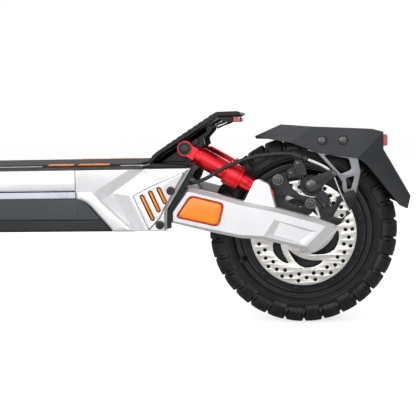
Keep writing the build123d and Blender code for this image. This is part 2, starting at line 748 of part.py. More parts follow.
# The front caliper is the same one mirrored fore and aft, turned down to the front of the disc
FRONT_TURN = -75
ACROSS_FRONT = Plane.YZ.offset(FRONT_X)
with BuildPart() as caliper_plate_front:
    mirror(make_caliper_plate(FRONT_X, FRONT_TURN).part, about=ACROSS_FRONT)
with BuildPart() as caliper_front:
    mirror(make_caliper(FRONT_X, FRONT_TURN).part, about=ACROSS_FRONT)
with BuildPart() as caliper_arm_front:
    mirror(make_caliper_arm(FRONT_X, FRONT_TURN).part, about=ACROSS_FRONT)

# Rear brake cable: out of the deck behind the left casting, over the shock's foot, to the cable stop
CABLE_ROUTE = ((-177, 200.5), (-142, 199.5), (-112, 208), (-72, 227), (-44, 232.6), (-21, 233))


def bend_radius(before, corner, after):
    """Largest comfortable bend at a corner between two runs."""
    into = math.atan2(corner[1] - before[1], corner[0] - before[0])
    out = math.atan2(after[1] - corner[1], after[0] - corner[0])
    shorter = min(math.dist(before, corner), math.dist(corner, after))
    return 0.45 * shorter / math.tan(abs(out - into) / 2)


CABLE_BENDS = [bend_radius(*CABLE_ROUTE[i : i + 3]) for i in range(len(CABLE_ROUTE) - 2)]
CABLE_R = 2.75
with BuildPart() as brake_cable_rear:
    with BuildLine(side(CABLE_Y)) as route:
        FilletPolyline(*CABLE_ROUTE, radius=CABLE_BENDS)
    with BuildSketch(Plane(origin=route.line @ 0, z_dir=route.line % 0)):
        Circle(CABLE_R)
    sweep(path=route.line)

# ---- Front arms, fork, fender and lamp ----
FRONT_ARM = (
    (121, 166), (113, 180), (95, 181), (40, 162), (8, 165), (-22, 165), (-27, 150), (-30, 128),
    (-22, 108), (0, 101), (32, 112), (100, 149), (117, 153),
)
FRONT_FIN = ((22, 158), (8, 184), (0, 191), (-14, 191), (-22, 183), (-26, 158))
with BuildPart() as front_arms:
    with BuildSketch(side(ARM_IN, FRONT_X)):
        shape(*FRONT_ARM)
    extrude(amount=ARM_OUT - ARM_IN)
    chamfer(faces().sort_by(Axis.Y)[0].edges(), 3)
    with BuildSketch(side(ARM_IN + 3, FRONT_X)):
        shape(*FRONT_FIN)
        fillet(vertices().group_by(Axis.Z)[-1], 2)
    extrude(amount=10)
    with BuildSketch(side(ARM_IN, FRONT_X)):
        with Locations(FRONT_PIVOT):
            Circle(6 + RUN)
    extrude(amount=ARM_OUT, mode=Mode.SUBTRACT)
    with BuildSketch(side(ARM_IN, FRONT_X, TYRE_R)):
        Circle(AXLE_R)
    extrude(amount=ARM_OUT - 4 - ARM_IN, mode=Mode.SUBTRACT)
    # Shock foot pins
    with BuildSketch(side(FOOT_IN - 0.3, FRONT_X)):
        with Locations(FRONT_SHOCK_FOOT):
            Circle(4.4)
    extrude(amount=ARM_IN + 4 - FOOT_IN)
    mirror(about=MIDDLE)
    # The left arm's caliper plate is cast with it
    add(caliper_plate_front.part)

CROWN_LOW = 288
CROWN_HIGH = 303
LEG = (
    (36, CROWN_HIGH), (66, CROWN_HIGH), (94, 232), (121, 170), (118, 154), (104, 149), (92, 156),
    (72, 214), (36, 284),
)
with BuildPart() as fork:
    with BuildSketch(side(44, FRONT_X)):
        shape(*LEG)
        fillet(vertices().group_by(Axis.Z)[0], 4)
    extrude(amount=18)
    with BuildSketch(side(44, FRONT_X)):
        with Locations(FRONT_PIVOT):
            Circle(6)
    extrude(amount=ARM_OUT + RUN - 44)
    with BuildSketch(side(ARM_OUT + RUN, FRONT_X)):
        with Locations(FRONT_PIVOT):
            Circle(10)
    extrude(amount=4)
    mirror(about=MIDDLE)
    with BuildSketch(side(0, FRONT_X)):
        shape((0, CROWN_LOW), (0, 300), (8, CROWN_HIGH), (66, CROWN_HIGH), (60, CROWN_LOW))
    extrude(amount=48, both=True)
    # Shock top bolts
    for hand in (-1, 1):
        with BuildSketch(side(hand * 47, FRONT_X)):
            with Locations(FRONT_SHOCK_TOP):
                Circle(SHOCK_BOLT_R)
        extrude(amount=hand * 20)
        with BuildSketch(side(hand * (SHOCK_Y + EYE_HALF + RUN), FRONT_X)):
            with Locations(FRONT_SHOCK_TOP):
                Circle(BOLT_HEAD_R)
        extrude(amount=hand * 4)
    with BuildSketch(column(300)):
        Circle(STEERER_R)
    extrude(amount=HEAD_HIGH + 4 - 300)

# Fold base: clamp on the steerer with two ears that hold the fold pin
with BuildPart() as fold_base:
    with BuildSketch(column(HEAD_HIGH + 0.6)):
        Circle(28)
    extrude(amount=5)
    with BuildSketch(column(HEAD_HIGH + 0.6)):
        RectangleRounded(54, 50, 10)
    extrude(amount=FOLD_AT - HEAD_HIGH - 3)
    with BuildSketch(column(300)):
        Circle(STEERER_R)
    extrude(amount=HEAD_HIGH + 4 - 300, mode=Mode.SUBTRACT)
    for hand in (-1, 1):
        with BuildSketch(column_side(hand * 26)):
            shape(
                (-6, HEAD_HIGH + 3), (-4, FOLD_AT), (14, FOLD_AT + 12), (34, FOLD_AT + 8),
                (36, FOLD_AT - 8), (24, HEAD_HIGH + 3),
            )
        extrude(amount=hand * 7)
    with BuildSketch(column_side(0)):
        with Locations((FOLD_BACK, FOLD_AT)):
            Circle(9)
    extrude(amount=24.5, both=True, mode=Mode.SUBTRACT)
    with BuildSketch(column_side(0)):
        with Locations((FOLD_BACK, FOLD_AT)):
            Circle(FOLD_PIN_R)
    extrude(amount=33, both=True)

with BuildPart() as front_fender:
    with BuildSketch(side(0, FRONT_X, TYRE_R)):
        with BuildLine():
            outer = CenterArc((0, 0), FENDER_R, 48, 132 - FENDER_NOSE)
            inner = CenterArc((0, 0), FENDER_R - WALL, 48, 132 - FENDER_NOSE)
            Line(outer @ 0, inner @ 0)
            Line(outer @ 1, inner @ 1)
        make_face()
        shape((10, 153), (10, CROWN_LOW - TYRE_R), (45, CROWN_LOW - TYRE_R), (45, 147))
    extrude(amount=42, both=True)

with BuildPart() as headlight:
    with BuildSketch(side(0, FRONT_X)):
        shape((-0.2, 290), (-0.2, 303), (-8, 322), (-40, 320), (-46, 312), (-44, 294), (-34, 288))
        fillet(vertices().group_by(Axis.X)[0], 2)
    extrude(amount=30, both=True)

# ---- Stem and cockpit ----
STEM_R = 25
LATCH = (-34, FOLD_AT + 24)
with BuildPart() as stem:
    with BuildSketch(column(FOLD_AT + 22)):
        Circle(STEM_R)
    extrude(amount=BAR_AT - 12 - FOLD_AT - 22)
    # Upper half of the fold joint: block with a knuckle round the fold pin
    with BuildSketch(column(FOLD_AT - 1)):
        with Locations((-5, 0)):
            RectangleRounded(44, 50, 8)
    extrude(amount=34)
    with BuildSketch(column_side(0)):
        with Locations((FOLD_BACK, FOLD_AT)):
            Circle(8.5)
        shape(
            (4, FOLD_AT), (FOLD_BACK - 6, FOLD_AT), (FOLD_BACK + 8, FOLD_AT + 3),
            (22, FOLD_AT + 60), (4, FOLD_AT + 60),
        )
    extrude(amount=24, both=True)
    with BuildSketch(column_side(0)):
        with Locations((FOLD_BACK, FOLD_AT)):
            Circle(FOLD_PIN_R + RUN)
    extrude(amount=30, both=True, mode=Mode.SUBTRACT)
    # Latch pin between two lugs
    with BuildSketch(column_side(0)):
        with Locations(LATCH):
            Circle(3)
    extrude(amount=19, both=True)
    for hand in (-1, 1):
        with BuildSketch(column_side(hand * 13)):
            shape((-39, FOLD_AT + 19), (-39, FOLD_AT + 29), (-26, FOLD_AT + 30), (-26, FOLD_AT + 18))
        extrude(amount=hand * 6)
    with BuildSketch(column(FOLD_AT + 46)):
        Circle(STEM_R - WALL)
    extrude(amount=BAR_AT - FOLD_AT - 76, mode=Mode.SUBTRACT)
    # Handlebar clamp
    with BuildSketch(column_side(0)):
        with Locations((0, BAR_AT)):
            Circle(19)
    extrude(amount=30, both=True)
    with BuildSketch(column_side(0)):
        with Locations((0, BAR_AT)):
            Circle(BAR_R)
    extrude(amount=40, both=True, mode=Mode.SUBTRACT)

with BuildPart() as handlebar:
    with BuildSketch(column_side(0)):
        with Locations((0, BAR_AT)):
            Circle(BAR_R)
            Circle(BAR_R - 2, mode=Mode.SUBTRACT)
    extrude(amount=BAR_HALF - 4, both=True)

GRIP_START = 184
with BuildPart() as grips:
    with BuildSketch(column_side(GRIP_START)):
        with Locations((0, BAR_AT)):
            Circle(16)
            Circle(BAR_R, mode=Mode.SUBTRACT)
    extrude(amount=BAR_HALF - 4 - GRIP_START)
    with BuildSketch(column_side(BAR_HALF - 4)):
        with Locations((0, BAR_AT)):
            Circle(16)
    extrude(amount=4)
    with BuildSketch(column_side(GRIP_START)):
        with Locations((0, BAR_AT)):
            Circle(18.5)
            Circle(BAR_R, mode=Mode.SUBTRACT)
    extrude(amount=4)
    mirror(about=MIDDLE)

with BuildPart() as display:
    with BuildSketch(column_side(0)):
        shape(
            (-14, BAR_AT + 20), (-22, BAR_AT + 36), (26, BAR_AT + 30), (44, BAR_AT + 14),
            (40, BAR_AT + 6), (21, BAR_AT + 6), (14, BAR_AT + 19),
        )
    extrude(amount=38, both=True)
    with BuildSketch(column_side(0)):
        with Locations((0, BAR_AT)):
            Circle(19.2)
    extrude(amount=50, both=True, mode=Mode.SUBTRACT)
    chamfer(edges().filter_by(Axis.Y).group_by(Axis.Z)[-1], 1.5)

BUTTONS = (106, 121)
LEVER_PIVOT = (-34, 158)  # forward of the bar, from the middle
with BuildPart() as lever_perches:
    with BuildSketch(column_side(150)):
        with Locations((0, BAR_AT)):
            Circle(16)
        shape((-8, BAR_AT - 12), (-42, BAR_AT - 12), (-42, BAR_AT + 12), (-8, BAR_AT + 12))
        with Locations((0, BAR_AT)):
            Circle(BAR_R, mode=Mode.SUBTRACT)
    extrude(amount=16)
    # Slot that takes the lever, and the pivot pin
    with BuildSketch(column(BAR_AT - 5.5)):
        with Locations((-34, -158)):
            Rectangle(20, 40)
    extrude(amount=11, mode=Mode.SUBTRACT)
    with BuildSketch(column(BAR_AT - 12)):
        with Locations((LEVER_PIVOT[0], -LEVER_PIVOT[1])):
            Circle(3)
    extrude(amount=24)
    # Cable barrel towards the middle
    with BuildSketch(column_side(134)):
        with Locations((-19, BAR_AT)):
            Circle(5)
    extrude(amount=17)
    mirror(about=MIDDLE)

with BuildPart() as brake_lever_left:
    with BuildSketch(column(BAR_AT - 5)):
        with BuildLine():
            FilletPolyline(
                (-28, -150), (-42, -150), (-48, -164), (-60, -182), (-62, -230), (-62, -284), (-54, -284),
                (-53, -230), (-50, -186), (-40, -170), (-28, -166), radius=2.5, close=True,
            )
        make_face()
        with Locations((-58, -284)):
            Circle(6)
    extrude(amount=10)
    with BuildSketch(column(BAR_AT - 6)):
        with Locations((LEVER_PIVOT[0], -LEVER_PIVOT[1])):
            Circle(3 + RUN)
    extrude(amount=12, mode=Mode.SUBTRACT)

with BuildPart() as brake_lever_right:
    mirror(brake_lever_left.part, about=MIDDLE)

with BuildPart() as throttle_paddle:
    with BuildSketch(column_side(-175.5)):
        with Locations((0, BAR_AT)):
            Circle(18)
        shape((6, BAR_AT - 17), (17, BAR_AT - 6), (34, BAR_AT - 24), (30, BAR_AT - 32))
        with Locations((0, BAR_AT)):
            Circle(13.5 + RUN, mode=Mode.SUBTRACT)
    extrude(amount=7)
    with BuildSketch(column_side(-175.5)):
        shape((22, BAR_AT - 24), (28, BAR_AT - 18), (37, BAR_AT - 27), (31, BAR_AT - 34))
    extrude(amount=22)

# Switch pod on the left of the bar and the thumb throttle's housing on the right
with BuildPart() as bar_controls:
    with BuildSketch(column_side(-182)):
        with Locations((0, BAR_AT)):
            Circle(19)
            Circle(BAR_R, mode=Mode.SUBTRACT)
    extrude(amount=6)
    with BuildSketch(column_side(-175)):
        with Locations((0, BAR_AT)):
            Circle(13.5)
            Circle(BAR_R, mode=Mode.SUBTRACT)
    extrude(amount=7)
    with BuildSketch(column_side(-176)):
        with Locations((0, BAR_AT)):
            Circle(13.5)
            Circle(BAR_R, mode=Mode.SUBTRACT)
    extrude(amount=1)
    with BuildSketch(column_side(98)):
        with Locations((0, BAR_AT)):
            Circle(17)
        shape((0, BAR_AT - 15), (24, BAR_AT - 14), (24, BAR_AT + 12), (0, BAR_AT + 17))
        with Locations((0, BAR_AT)):
            Circle(BAR_R, mode=Mode.SUBTRACT)
    extrude(amount=32)
    # Wells of the two buttons, open to the rear
    for y in BUTTONS:
        with BuildSketch(column_side(y - 5)):
            shape((19, BAR_AT - 7), (26, BAR_AT - 7), (26, BAR_AT + 5), (19, BAR_AT + 5))
        extrude(amount=10, mode=Mode.SUBTRACT)


def make_button(y):
    with BuildPart() as button:
        with BuildSketch(column_side(y - 5 + RUN)):
            shape(
                (21.5, BAR_AT - 7 + RUN), (27, BAR_AT - 7 + RUN), (27, BAR_AT + 5 - RUN),
                (21.5, BAR_AT + 5 - RUN),
            )
        extrude(amount=10 - 2 * RUN)
    return button


horn_button = make_button(BUTTONS[0])
light_button = make_button(BUTTONS[1])

# Fold latch: lever on the stem's front that hooks under the fold base
with BuildPart() as fold_latch:
    with BuildSketch(column_side(0)):
        with Locations(LATCH):
            Circle(6.5)
        shape(
            (-40, FOLD_AT + 24), (-29, FOLD_AT + 22), (-30.5, FOLD_AT - 14), (-44, FOLD_AT - 40),
            (-50, FOLD_AT - 36), (-40, FOLD_AT - 8),
        )
    extrude(amount=12, both=True)
    with BuildSketch(column_side(0)):
        with Locations(LATCH):
            Circle(3 + RUN)
    extrude(amount=13, both=True, mode=Mode.SUBTRACT)

# ---- Fasteners of the chassis ----
with BuildPart() as chassis_bolts:
    # Swingarm pivot pin, seated in both castings
    with BuildSketch(side(0)):
        with Locations(PIVOT):
            Circle(PIVOT_R)
    extrude(amount=CAST_IN + 8, both=True)
    for hand in (-1, 1):
        with BuildSketch(side(hand * VENT_OUT)):
            with Locations(*CASTING_BOLTS):
                Circle(5.5)
        extrude(amount=hand * 2.5)
        # Shock top bolts: a shank through the rib and a broad head outside the eye
        with BuildSketch(side(hand * 42)):
            with Locations(SHOCK_TOP):
                Circle(SHOCK_BOLT_R)
        extrude(amount=hand * 24.5)
        with BuildSketch(side(hand * (SHOCK_Y + EYE_HALF + RUN))):
            with Locations(SHOCK_TOP):
                Circle(BOLT_HEAD_R)
        extrude(amount=hand * 4)

PIECES = {
    "tyre_rear": tyre_rear, "hub_rear": hub_rear, "motor_covers_rear": motor_covers_rear,
    "brake_disc_rear": brake_disc_rear, "tyre_front": tyre_front, "hub_front": hub_front,
    "motor_covers_front": motor_covers_front, "brake_disc_front": brake_disc_front,
    "axle_rear": axle_rear, "axle_front": axle_front, "side_rails": side_rails,
    "battery_box": battery_box, "deck_plate": deck_plate, "deck_mat": deck_mat,
    "battery_pack": battery_pack, "controller": controller, "rear_castings": rear_castings,
    "vent_covers": vent_covers, "vent_inserts": vent_inserts,
    "rear_bulkhead": rear_bulkhead, "shock_cylinders_rear": shock_cylinders_rear,
    "shock_sleeves_rear": shock_sleeves_rear, "shock_cylinders_front": shock_cylinders_front,
    "shock_sleeves_front": shock_sleeves_front, "kickplate": kickplate,
    "kickplate_lamps": kickplate_lamps, "front_neck": front_neck, "swingarm_left": swingarm_left,
    "swingarm_right": swingarm_right, "swingarm_bridge": swingarm_bridge, "reflectors": reflectors,
    "rear_fender": rear_fender, "fender_brackets": fender_brackets, "tail_light": tail_light,
    "swingarm_bolts": swingarm_bolts, "caliper_plate_rear": caliper_plate_rear,
    "caliper_rear": caliper_rear, "caliper_arm_rear": caliper_arm_rear,
    "caliper_front": caliper_front,
    "caliper_arm_front": caliper_arm_front, "brake_cable_rear": brake_cable_rear,
    "front_arms": front_arms, "fork": fork, "fold_base": fold_base, "front_fender": front_fender,
    "headlight": headlight, "stem": stem, "handlebar": handlebar, "grips": grips,
    "display": display, "lever_perches": lever_perches, "brake_lever_left": brake_lever_left,
    "brake_lever_right": brake_lever_right,
    "throttle_paddle": throttle_paddle, "bar_controls": bar_controls, "horn_button": horn_button,
    "light_button": light_button, "fold_latch": fold_latch,
    "kickstand": kickstand, "chassis_bolts": chassis_bolts,
}

os.makedirs("parts", exist_ok=True)
for label, piece in PIECES.items():
    piece.part.label = label
    export_step(piece.part, f"parts/{label}.step")
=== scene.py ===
import math

import bmesh
import bpy
from mathutils import Matrix, Vector


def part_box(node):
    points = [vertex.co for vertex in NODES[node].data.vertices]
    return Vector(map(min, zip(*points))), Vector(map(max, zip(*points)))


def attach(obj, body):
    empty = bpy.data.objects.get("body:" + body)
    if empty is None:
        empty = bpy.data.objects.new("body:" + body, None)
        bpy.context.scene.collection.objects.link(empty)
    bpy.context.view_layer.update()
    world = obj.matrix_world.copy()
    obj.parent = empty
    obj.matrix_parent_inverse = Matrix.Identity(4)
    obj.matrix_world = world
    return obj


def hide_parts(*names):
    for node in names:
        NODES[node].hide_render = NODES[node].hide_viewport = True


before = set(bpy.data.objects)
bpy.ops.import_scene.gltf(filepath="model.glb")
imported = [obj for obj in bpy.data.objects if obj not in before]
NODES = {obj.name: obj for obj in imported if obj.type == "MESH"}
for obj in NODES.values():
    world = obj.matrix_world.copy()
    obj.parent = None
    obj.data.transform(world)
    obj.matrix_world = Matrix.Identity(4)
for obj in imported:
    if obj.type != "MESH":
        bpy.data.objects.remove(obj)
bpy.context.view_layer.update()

MM = 0.001
LEFT, RIGHT = HANDS = -1, 1
SIDES = ((LEFT, "left"), (RIGHT, "right"))


def middle(node):
    low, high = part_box(node)
    return (low + high) / 2


REAR_X = middle("tyre_rear").x / MM
FRONT_X = middle("tyre_front").x / MM
AXLE_Z = 127.5


# ---- Places, in millimetres ----
def rear(x, y, z):
    """A point from the rear axle's x, the middle plane and the ground."""
    return Vector((REAR_X + x, y, z)) * MM


def front(x, y, z):
    """The same from the front axle."""
    return Vector((FRONT_X + x, y, z)) * MM


def rear_wheel(x, y, z):
    return rear(x, y, AXLE_Z + z)


def front_wheel(x, y, z):
    return front(x, y, AXLE_Z + z)


CALIPER_TURN = math.radians(-75)


def front_brake(x, y, z):
    """The front caliper is the rear one mirrored fore and aft and turned down the disc's front edge."""
    cos_t, sin_t = math.cos(CALIPER_TURN), math.sin(CALIPER_TURN)
    return front_wheel(-(x * cos_t - z * sin_t), y, x * sin_t + z * cos_t)


# ---- Outlines, lists of (x, z) in millimetres ----
def circle(centre, radius, count=32):
    turns = [math.tau * i / count for i in range(count)]
    return [(centre[0] + radius * math.cos(a), centre[1] + radius * math.sin(a)) for a in turns]


def stadium(start, end, half, count=8):
    """Outline of a slot with round ends."""
    lean = math.atan2(end[1] - start[1], end[0] - start[0])
    points = []
    for centre, turn in ((end, lean - math.pi / 2), (start, lean + math.pi / 2)):
        for i in range(count + 1):
            a = turn + math.pi * i / count
            points.append((centre[0] + half * math.cos(a), centre[1] + half * math.sin(a)))
    return points


def corners(outline):
    """Each corner of an outline with its neighbours."""
    count = len(outline)
    for i in range(count):
        yield tuple(Vector(outline[(i + k) % count]) for k in (-1, 0, 1))


def inset(outline, depth):
    """Moves every side of an outline inwards by depth, mitred at the corners."""
    count = len(outline)
    area = sum(
        outline[i][0] * outline[(i + 1) % count][1] - outline[(i + 1) % count][0] * outline[i][1] for i in range(count)
    )
    hand = 1 if area > 0 else -1
    moved = []
    for before, here, after in corners(outline):
        into, out = (here - before).normalized(), (after - here).normalized()
        normal_in = Vector((-into.y, into.x)) * hand
        normal_out = Vector((-out.y, out.x)) * hand
        across = normal_in + normal_out
        share = max(0.3, across.dot(normal_in))
        moved.append(tuple(here + across * (depth / share)))
    return moved


def rounded(outline, radius, count=5):
    """An outline with its corners cut by smooth curves."""
    points = []
    for before, here, after in corners(outline):
        reach_in = min(radius, (here - before).length * 0.48)
        reach_out = min(radius, (after - here).length * 0.48)
        start = here + (before - here).normalized() * reach_in
        end = here + (after - here).normalized() * reach_out
        for k in range(count + 1):
            t = k / count
            points.append(tuple(start * (1 - t) ** 2 + here * 2 * t * (1 - t) + end * t * t))
    return points


def smooth(points, steps):
    """Points along a smooth curve through the given ones."""
    curve = []
    last = len(points) - 1
    for i in range(last):
        a, b, c, d = (Vector(points[max(0, min(last, i + k))]) for k in (-1, 0, 1, 2))
        for step in range(steps):
            t = step / steps
            curve.append(0.5 * (
                2 * b + (c - a) * t + (2 * a - 5 * b + 4 * c - d) * t * t + (3 * b - a - 3 * c + d) * t ** 3
            ))
    return curve + [Vector(points[-1])]


# ---- Meshes ----
class Form:
    """A mesh under construction; place turns (x, y, z) in millimetres into a point of the frame."""

    def __init__(self, place=rear):
        self.bm = bmesh.new()
        self.place = place

    def vertex(self, x, y, z):
        return self.bm.verts.new(self.place(x, y, z))

    def face(self, vertices):
        try:
            return self.bm.faces.new(vertices)
        except ValueError:
            return None

    def join(self, rings):
        """Skins neighbouring rings of vertices; a ring of one vertex is a point."""
        for one, two in zip(rings, rings[1:]):
            count = max(len(one), len(two))
            for i in range(count):
                k = (i + 1) % count
                if len(one) == 1:
                    self.face((one[0], two[k], two[i]))
                elif len(two) == 1:
                    self.face((one[i], one[k], two[0]))
                else:
                    self.face((one[i], one[k], two[k], two[i]))

    def skin(self, rings):
        """The same, closed by a face at both ends."""
        self.join(rings)
        for end in (rings[0], rings[-1]):
            if len(end) > 1:
                self.face(end)
        return self

    def loft(self, *sections):
        """Solid through outlines of equal count, each given with its y."""
        return self.skin([[self.vertex(x, y, z) for x, z in outline] for outline, y in sections])

    def prism(self, outline, y0, y1):
        return self.loft((outline, y0), (outline, y1))

    def button(self, outline, levels, edge, hand=1):
        """Prism between the first two levels of y, drawn in by edge towards the third."""
        start, shoulder, end = (hand * y for y in levels)
        return self.loft((outline, start), (outline, shoulder), (inset(outline, edge), end))

    def lathe(self, profile, start, along, count=40):
        """Solid of revolution: profile is (distance along, radius), start and along are (x, y, z)."""
        start, along = Vector(start), Vector(along).normalized()
        across = along.orthogonal().normalized()
        other = along.cross(across)
        rings = []
        for reach, radius in profile:
            centre = start + along * reach
            turns = [math.tau * i / count for i in range(count)] if radius else [0]
            rings.append([
                self.vertex(*(centre + (across * math.cos(a) + other * math.sin(a)) * radius)) for a in turns
            ])
        return self.skin(rings)

    def rod(self, start, hand, radius, length, count=24):
        """Plain cylinder outward from start."""
        return self.lathe([(0, 0), (0, radius), (length, radius), (length, 0)], start, (0, hand, 0), count)

    def ring(self, profile, centre=(0, 0), count=96):
        """Closed band round the y axis: profile is a closed list of (y, radius)."""
        rings = [[self.vertex(x, y, z) for x, z in circle(centre, radius, count)] for y, radius in profile]
        self.join(rings + rings[:1])
        return self

    def tube(self, points, radius, count=12):
        """Round bar along points (x, y, z)."""
        points = [Vector(p) for p in points]
        rings = []
        across = None
        for i, point in enumerate(points):
            ahead = (points[min(i + 1, len(points) - 1)] - points[max(i - 1, 0)]).normalized()
            across = ahead.orthogonal().normalized() if across is None else across
            across = (across - ahead * across.dot(ahead)).normalized()
            other = ahead.cross(across)
            rings.append([
                self.vertex(*(point + (across * math.cos(a) + other * math.sin(a)) * radius))
                for a in (math.tau * k / count for k in range(count))
            ])
        return self.skin(rings)

    def socket_screw(self, x, z, y, hand, radius, height, dome=0.0):
        """Screw head standing outward from y, with a hexagonal socket."""
        count = 24
        socket = radius * 0.46
        profile = [
            (0, radius), (height * 0.7, radius), (height - dome * 0.2, radius * (0.86 - dome * 0.1)),
            (height, socket * 1.15),
        ]
        rings = [[self.vertex(px, y + hand * reach, pz) for px, pz in circle((x, z), r, count)] for reach, r in profile]
        for reach in (height, height * 0.35):
            ring = []
            for i in range(count):
                a = math.tau * i / count
                flat = socket * math.cos(math.pi / 6) / math.cos((a % (math.pi / 3)) - math.pi / 6)
                ring.append(self.vertex(x + flat * math.cos(a), y + hand * reach, z + flat * math.sin(a)))
            rings.append(ring)
        return self.skin(rings)

    def screws(self, points, y, hand, radius, height, dome=0.0):
        for x, z in points:
            self.socket_screw(x, z, y, hand, radius, height, dome)
        return self

    def to_mesh(self, name):
        bmesh.ops.recalc_face_normals(self.bm, faces=self.bm.faces)
        mesh = bpy.data.meshes.new(name)
        self.bm.to_mesh(mesh)
        self.bm.free()
        return mesh


def show(name, data):
    """Adds an object to the scene."""
    obj = bpy.data.objects.new(name, data)
    bpy.context.scene.collection.objects.link(obj)
    return obj


def evaluated_mesh(obj):
    bpy.context.view_layer.update()
    return bpy.data.meshes.new_from_object(obj.evaluated_get(bpy.context.evaluated_depsgraph_get()))


def sheet(outline, holes, y0, y1, place=rear, edge=0.4):
    """Flat plate with holes and softened edges, as a mesh."""
    curve = bpy.data.curves.new("outline", "CURVE")
    curve.dimensions = "2D"
    curve.fill_mode = "BOTH"
    for loop in [outline, *holes]:
        spline = curve.splines.new("POLY")
        spline.points.add(len(loop) - 1)
        for point, (x, z) in zip(spline.points, loop):
            point.co = (x * MM, z * MM, 0, 1)
        spline.use_cyclic_u = True
    curve.extrude = (abs(y1 - y0) / 2 - edge) * MM
    curve.bevel_depth = edge * MM
    curve.bevel_resolution = 1
    curve.offset = -edge * MM
    carrier = show("outline", curve)
    mesh = evaluated_mesh(carrier)
    bpy.data.objects.remove(carrier)
    bpy.data.curves.remove(curve)
    bm = bmesh.new()
    bm.from_mesh(mesh)
    bmesh.ops.remove_doubles(bm, verts=bm.verts, dist=0.00002)
    for v in bm.verts:
        v.co = place(v.co.x / MM, (y0 + y1) / 2 - v.co.z / MM, v.co.y / MM)
    bmesh.ops.recalc_face_normals(bm, faces=bm.faces)
    bm.to_mesh(mesh)
    bm.free()
    mesh.materials.clear()
    return mesh


def carve(mesh, *cutters):
    """Takes closed forms out of a mesh."""
    target = show("target", mesh)
    tools = [show("cutter", cutter.to_mesh("cutter")) for cutter in cutters]
    for tool in tools:
        cut = target.modifiers.new("cut", "BOOLEAN")
        cut.operation = "DIFFERENCE"
        cut.solver = "EXACT"
        cut.object = tool
    carved = evaluated_mesh(target)
    for obj in (*tools, target):
        bpy.data.objects.remove(obj)
    return carved


def soften(obj, width, segments, angle):
    """Rounds the edges that turn by more than angle, in degrees."""
    soft = obj.modifiers.new("soft_edges", "BEVEL")
    soft.width = width * MM
    soft.segments = segments
    soft.limit_method = "ANGLE"
    soft.angle_limit = math.radians(angle)
    soft.harden_normals = True


def finish(name, shape, look, body, replaces=None, slot=None, bevel=0.0, segments=2, angle=32):
    """Turns a form or mesh into a piece of the model with its look's material; the slot argument is not used."""
    mesh = shape.to_mesh(name) if isinstance(shape, Form) else shape
    mesh.name = name
    obj = show(name, mesh)
    mesh.materials.append(LOOK[look])
    mesh.polygons.foreach_set("use_smooth", [True] * len(mesh.polygons))
    if bevel:
        soften(obj, bevel, segments, angle)
    else:
        mesh.set_sharp_from_angle(angle=math.radians(angle))
    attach(obj, body)
    if replaces:
        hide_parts(replaces)
    return obj


def once(hand, node):
    """One of a pair stands in for the node that holds both."""
    return node if hand == LEFT else None


# ---- Materials ----
class Shader:
    """A principled material whose layers are laid down in object space, in metres."""

    def __init__(self, name, colour, roughness, metallic=0.0, sockets=()):
        self.material = bpy.data.materials.new(name)
        self.material.use_nodes = True
        self.tree = self.material.node_tree
        self.bsdf = self.tree.nodes["Principled BSDF"]
        self.roughness = roughness
        self.colour = colour
        constants = {"Base Color": (*colour, 1), "Roughness": roughness, "Metallic": metallic, **dict(sockets)}
        for socket, value in constants.items():
            self.bsdf.inputs[socket].default_value = value
        self.place = self.node("ShaderNodeTexCoord").outputs["Object"]
        self.tint = None

    def node(self, kind, inputs=(), **values):
        """Adds a node; its inputs are constants or the outputs of other nodes."""
        node = self.tree.nodes.new(kind)
        for key, value in values.items():
            setattr(node, key, value)
        for socket, value in dict(inputs).items():
            if isinstance(value, bpy.types.NodeSocket):
                self.tree.links.new(value, node.inputs[socket])
            else:
                node.inputs[socket].default_value = value
        return node

    def feed(self, source, socket):
        self.tree.links.new(source, self.bsdf.inputs[socket])
        return self

    def noise(self, scale, detail):
        inputs = {"Vector": self.place, "Scale": scale, "Detail": detail}
        return self.node("ShaderNodeTexNoise", inputs).outputs["Fac"]

    def span(self, source, start, stop, low=0.0, high=1.0):
        inputs = {"Value": source, "From Min": start, "From Max": stop, "To Min": low, "To Max": high}
        return self.node("ShaderNodeMapRange", inputs).outputs["Result"]

    def mottle(self, scale, spread):
        """Uneven colour, a share lighter and darker."""
        ramp = self.node("ShaderNodeValToRGB", {"Fac": self.noise(scale, 4.0)})
        for element, position, share in zip(ramp.color_ramp.elements, (0.35, 0.65), (1 - spread, 1 + spread)):
            element.position = position
            element.color = (*(min(1, c * share) for c in self.colour), 1)
        self.tint = ramp.outputs["Color"]
        return self.feed(self.tint, "Base Color")

    def smudge(self, scale, spread):
        """Uneven gloss."""
        low, high = max(0.02, self.roughness - spread), min(1.0, self.roughness + spread)
        return self.feed(self.span(self.noise(scale, 3.0), 0.3, 0.7, low, high), "Roughness")

    def grain(self, scale, strength, depth):
        inputs = {"Strength": strength, "Distance": depth, "Height": self.noise(scale, 2.0)}
        return self.feed(self.node("ShaderNodeBump", inputs).outputs["Normal"], "Normal")

    def blend(self, mask, colour):
        """Lays a second colour over the first where mask is 1."""
        mix = self.node("ShaderNodeMix", {"Factor": mask, "A": self.tint, "B": (*colour, 1)}, data_type="RGBA")
        self.tint = mix.outputs["Result"]
        return self.feed(self.tint, "Base Color")

    def rub_and_highlight_edges(self, colour):
        """Lighter outside corners of the surface, broken up by noise: rubbed wear on most finishes, a painted highlight
        on the dark screws.
        """
        sharp = self.span(self.node("ShaderNodeNewGeometry").outputs["Pointiness"], 0.54, 0.62)
        both = self.node("ShaderNodeMath", {0: sharp, 1: self.noise(140, 3.0)}, operation="MULTIPLY")
        return self.blend(both.outputs["Value"], colour)

    def specks(self, colour, scale, share):
        """Small separate marks, such as dust or grit."""
        cells = self.node("ShaderNodeTexVoronoi", {"Vector": self.place, "Scale": scale}).outputs["Distance"]
        near = self.node("ShaderNodeMath", {0: cells, 1: share}, operation="LESS_THAN")
        return self.blend(near.outputs["Value"], colour)


def coat(weight, roughness=None):
    sockets = {"Coat Weight": weight}
    if roughness:
        sockets["Coat Roughness"] = roughness
    return sockets


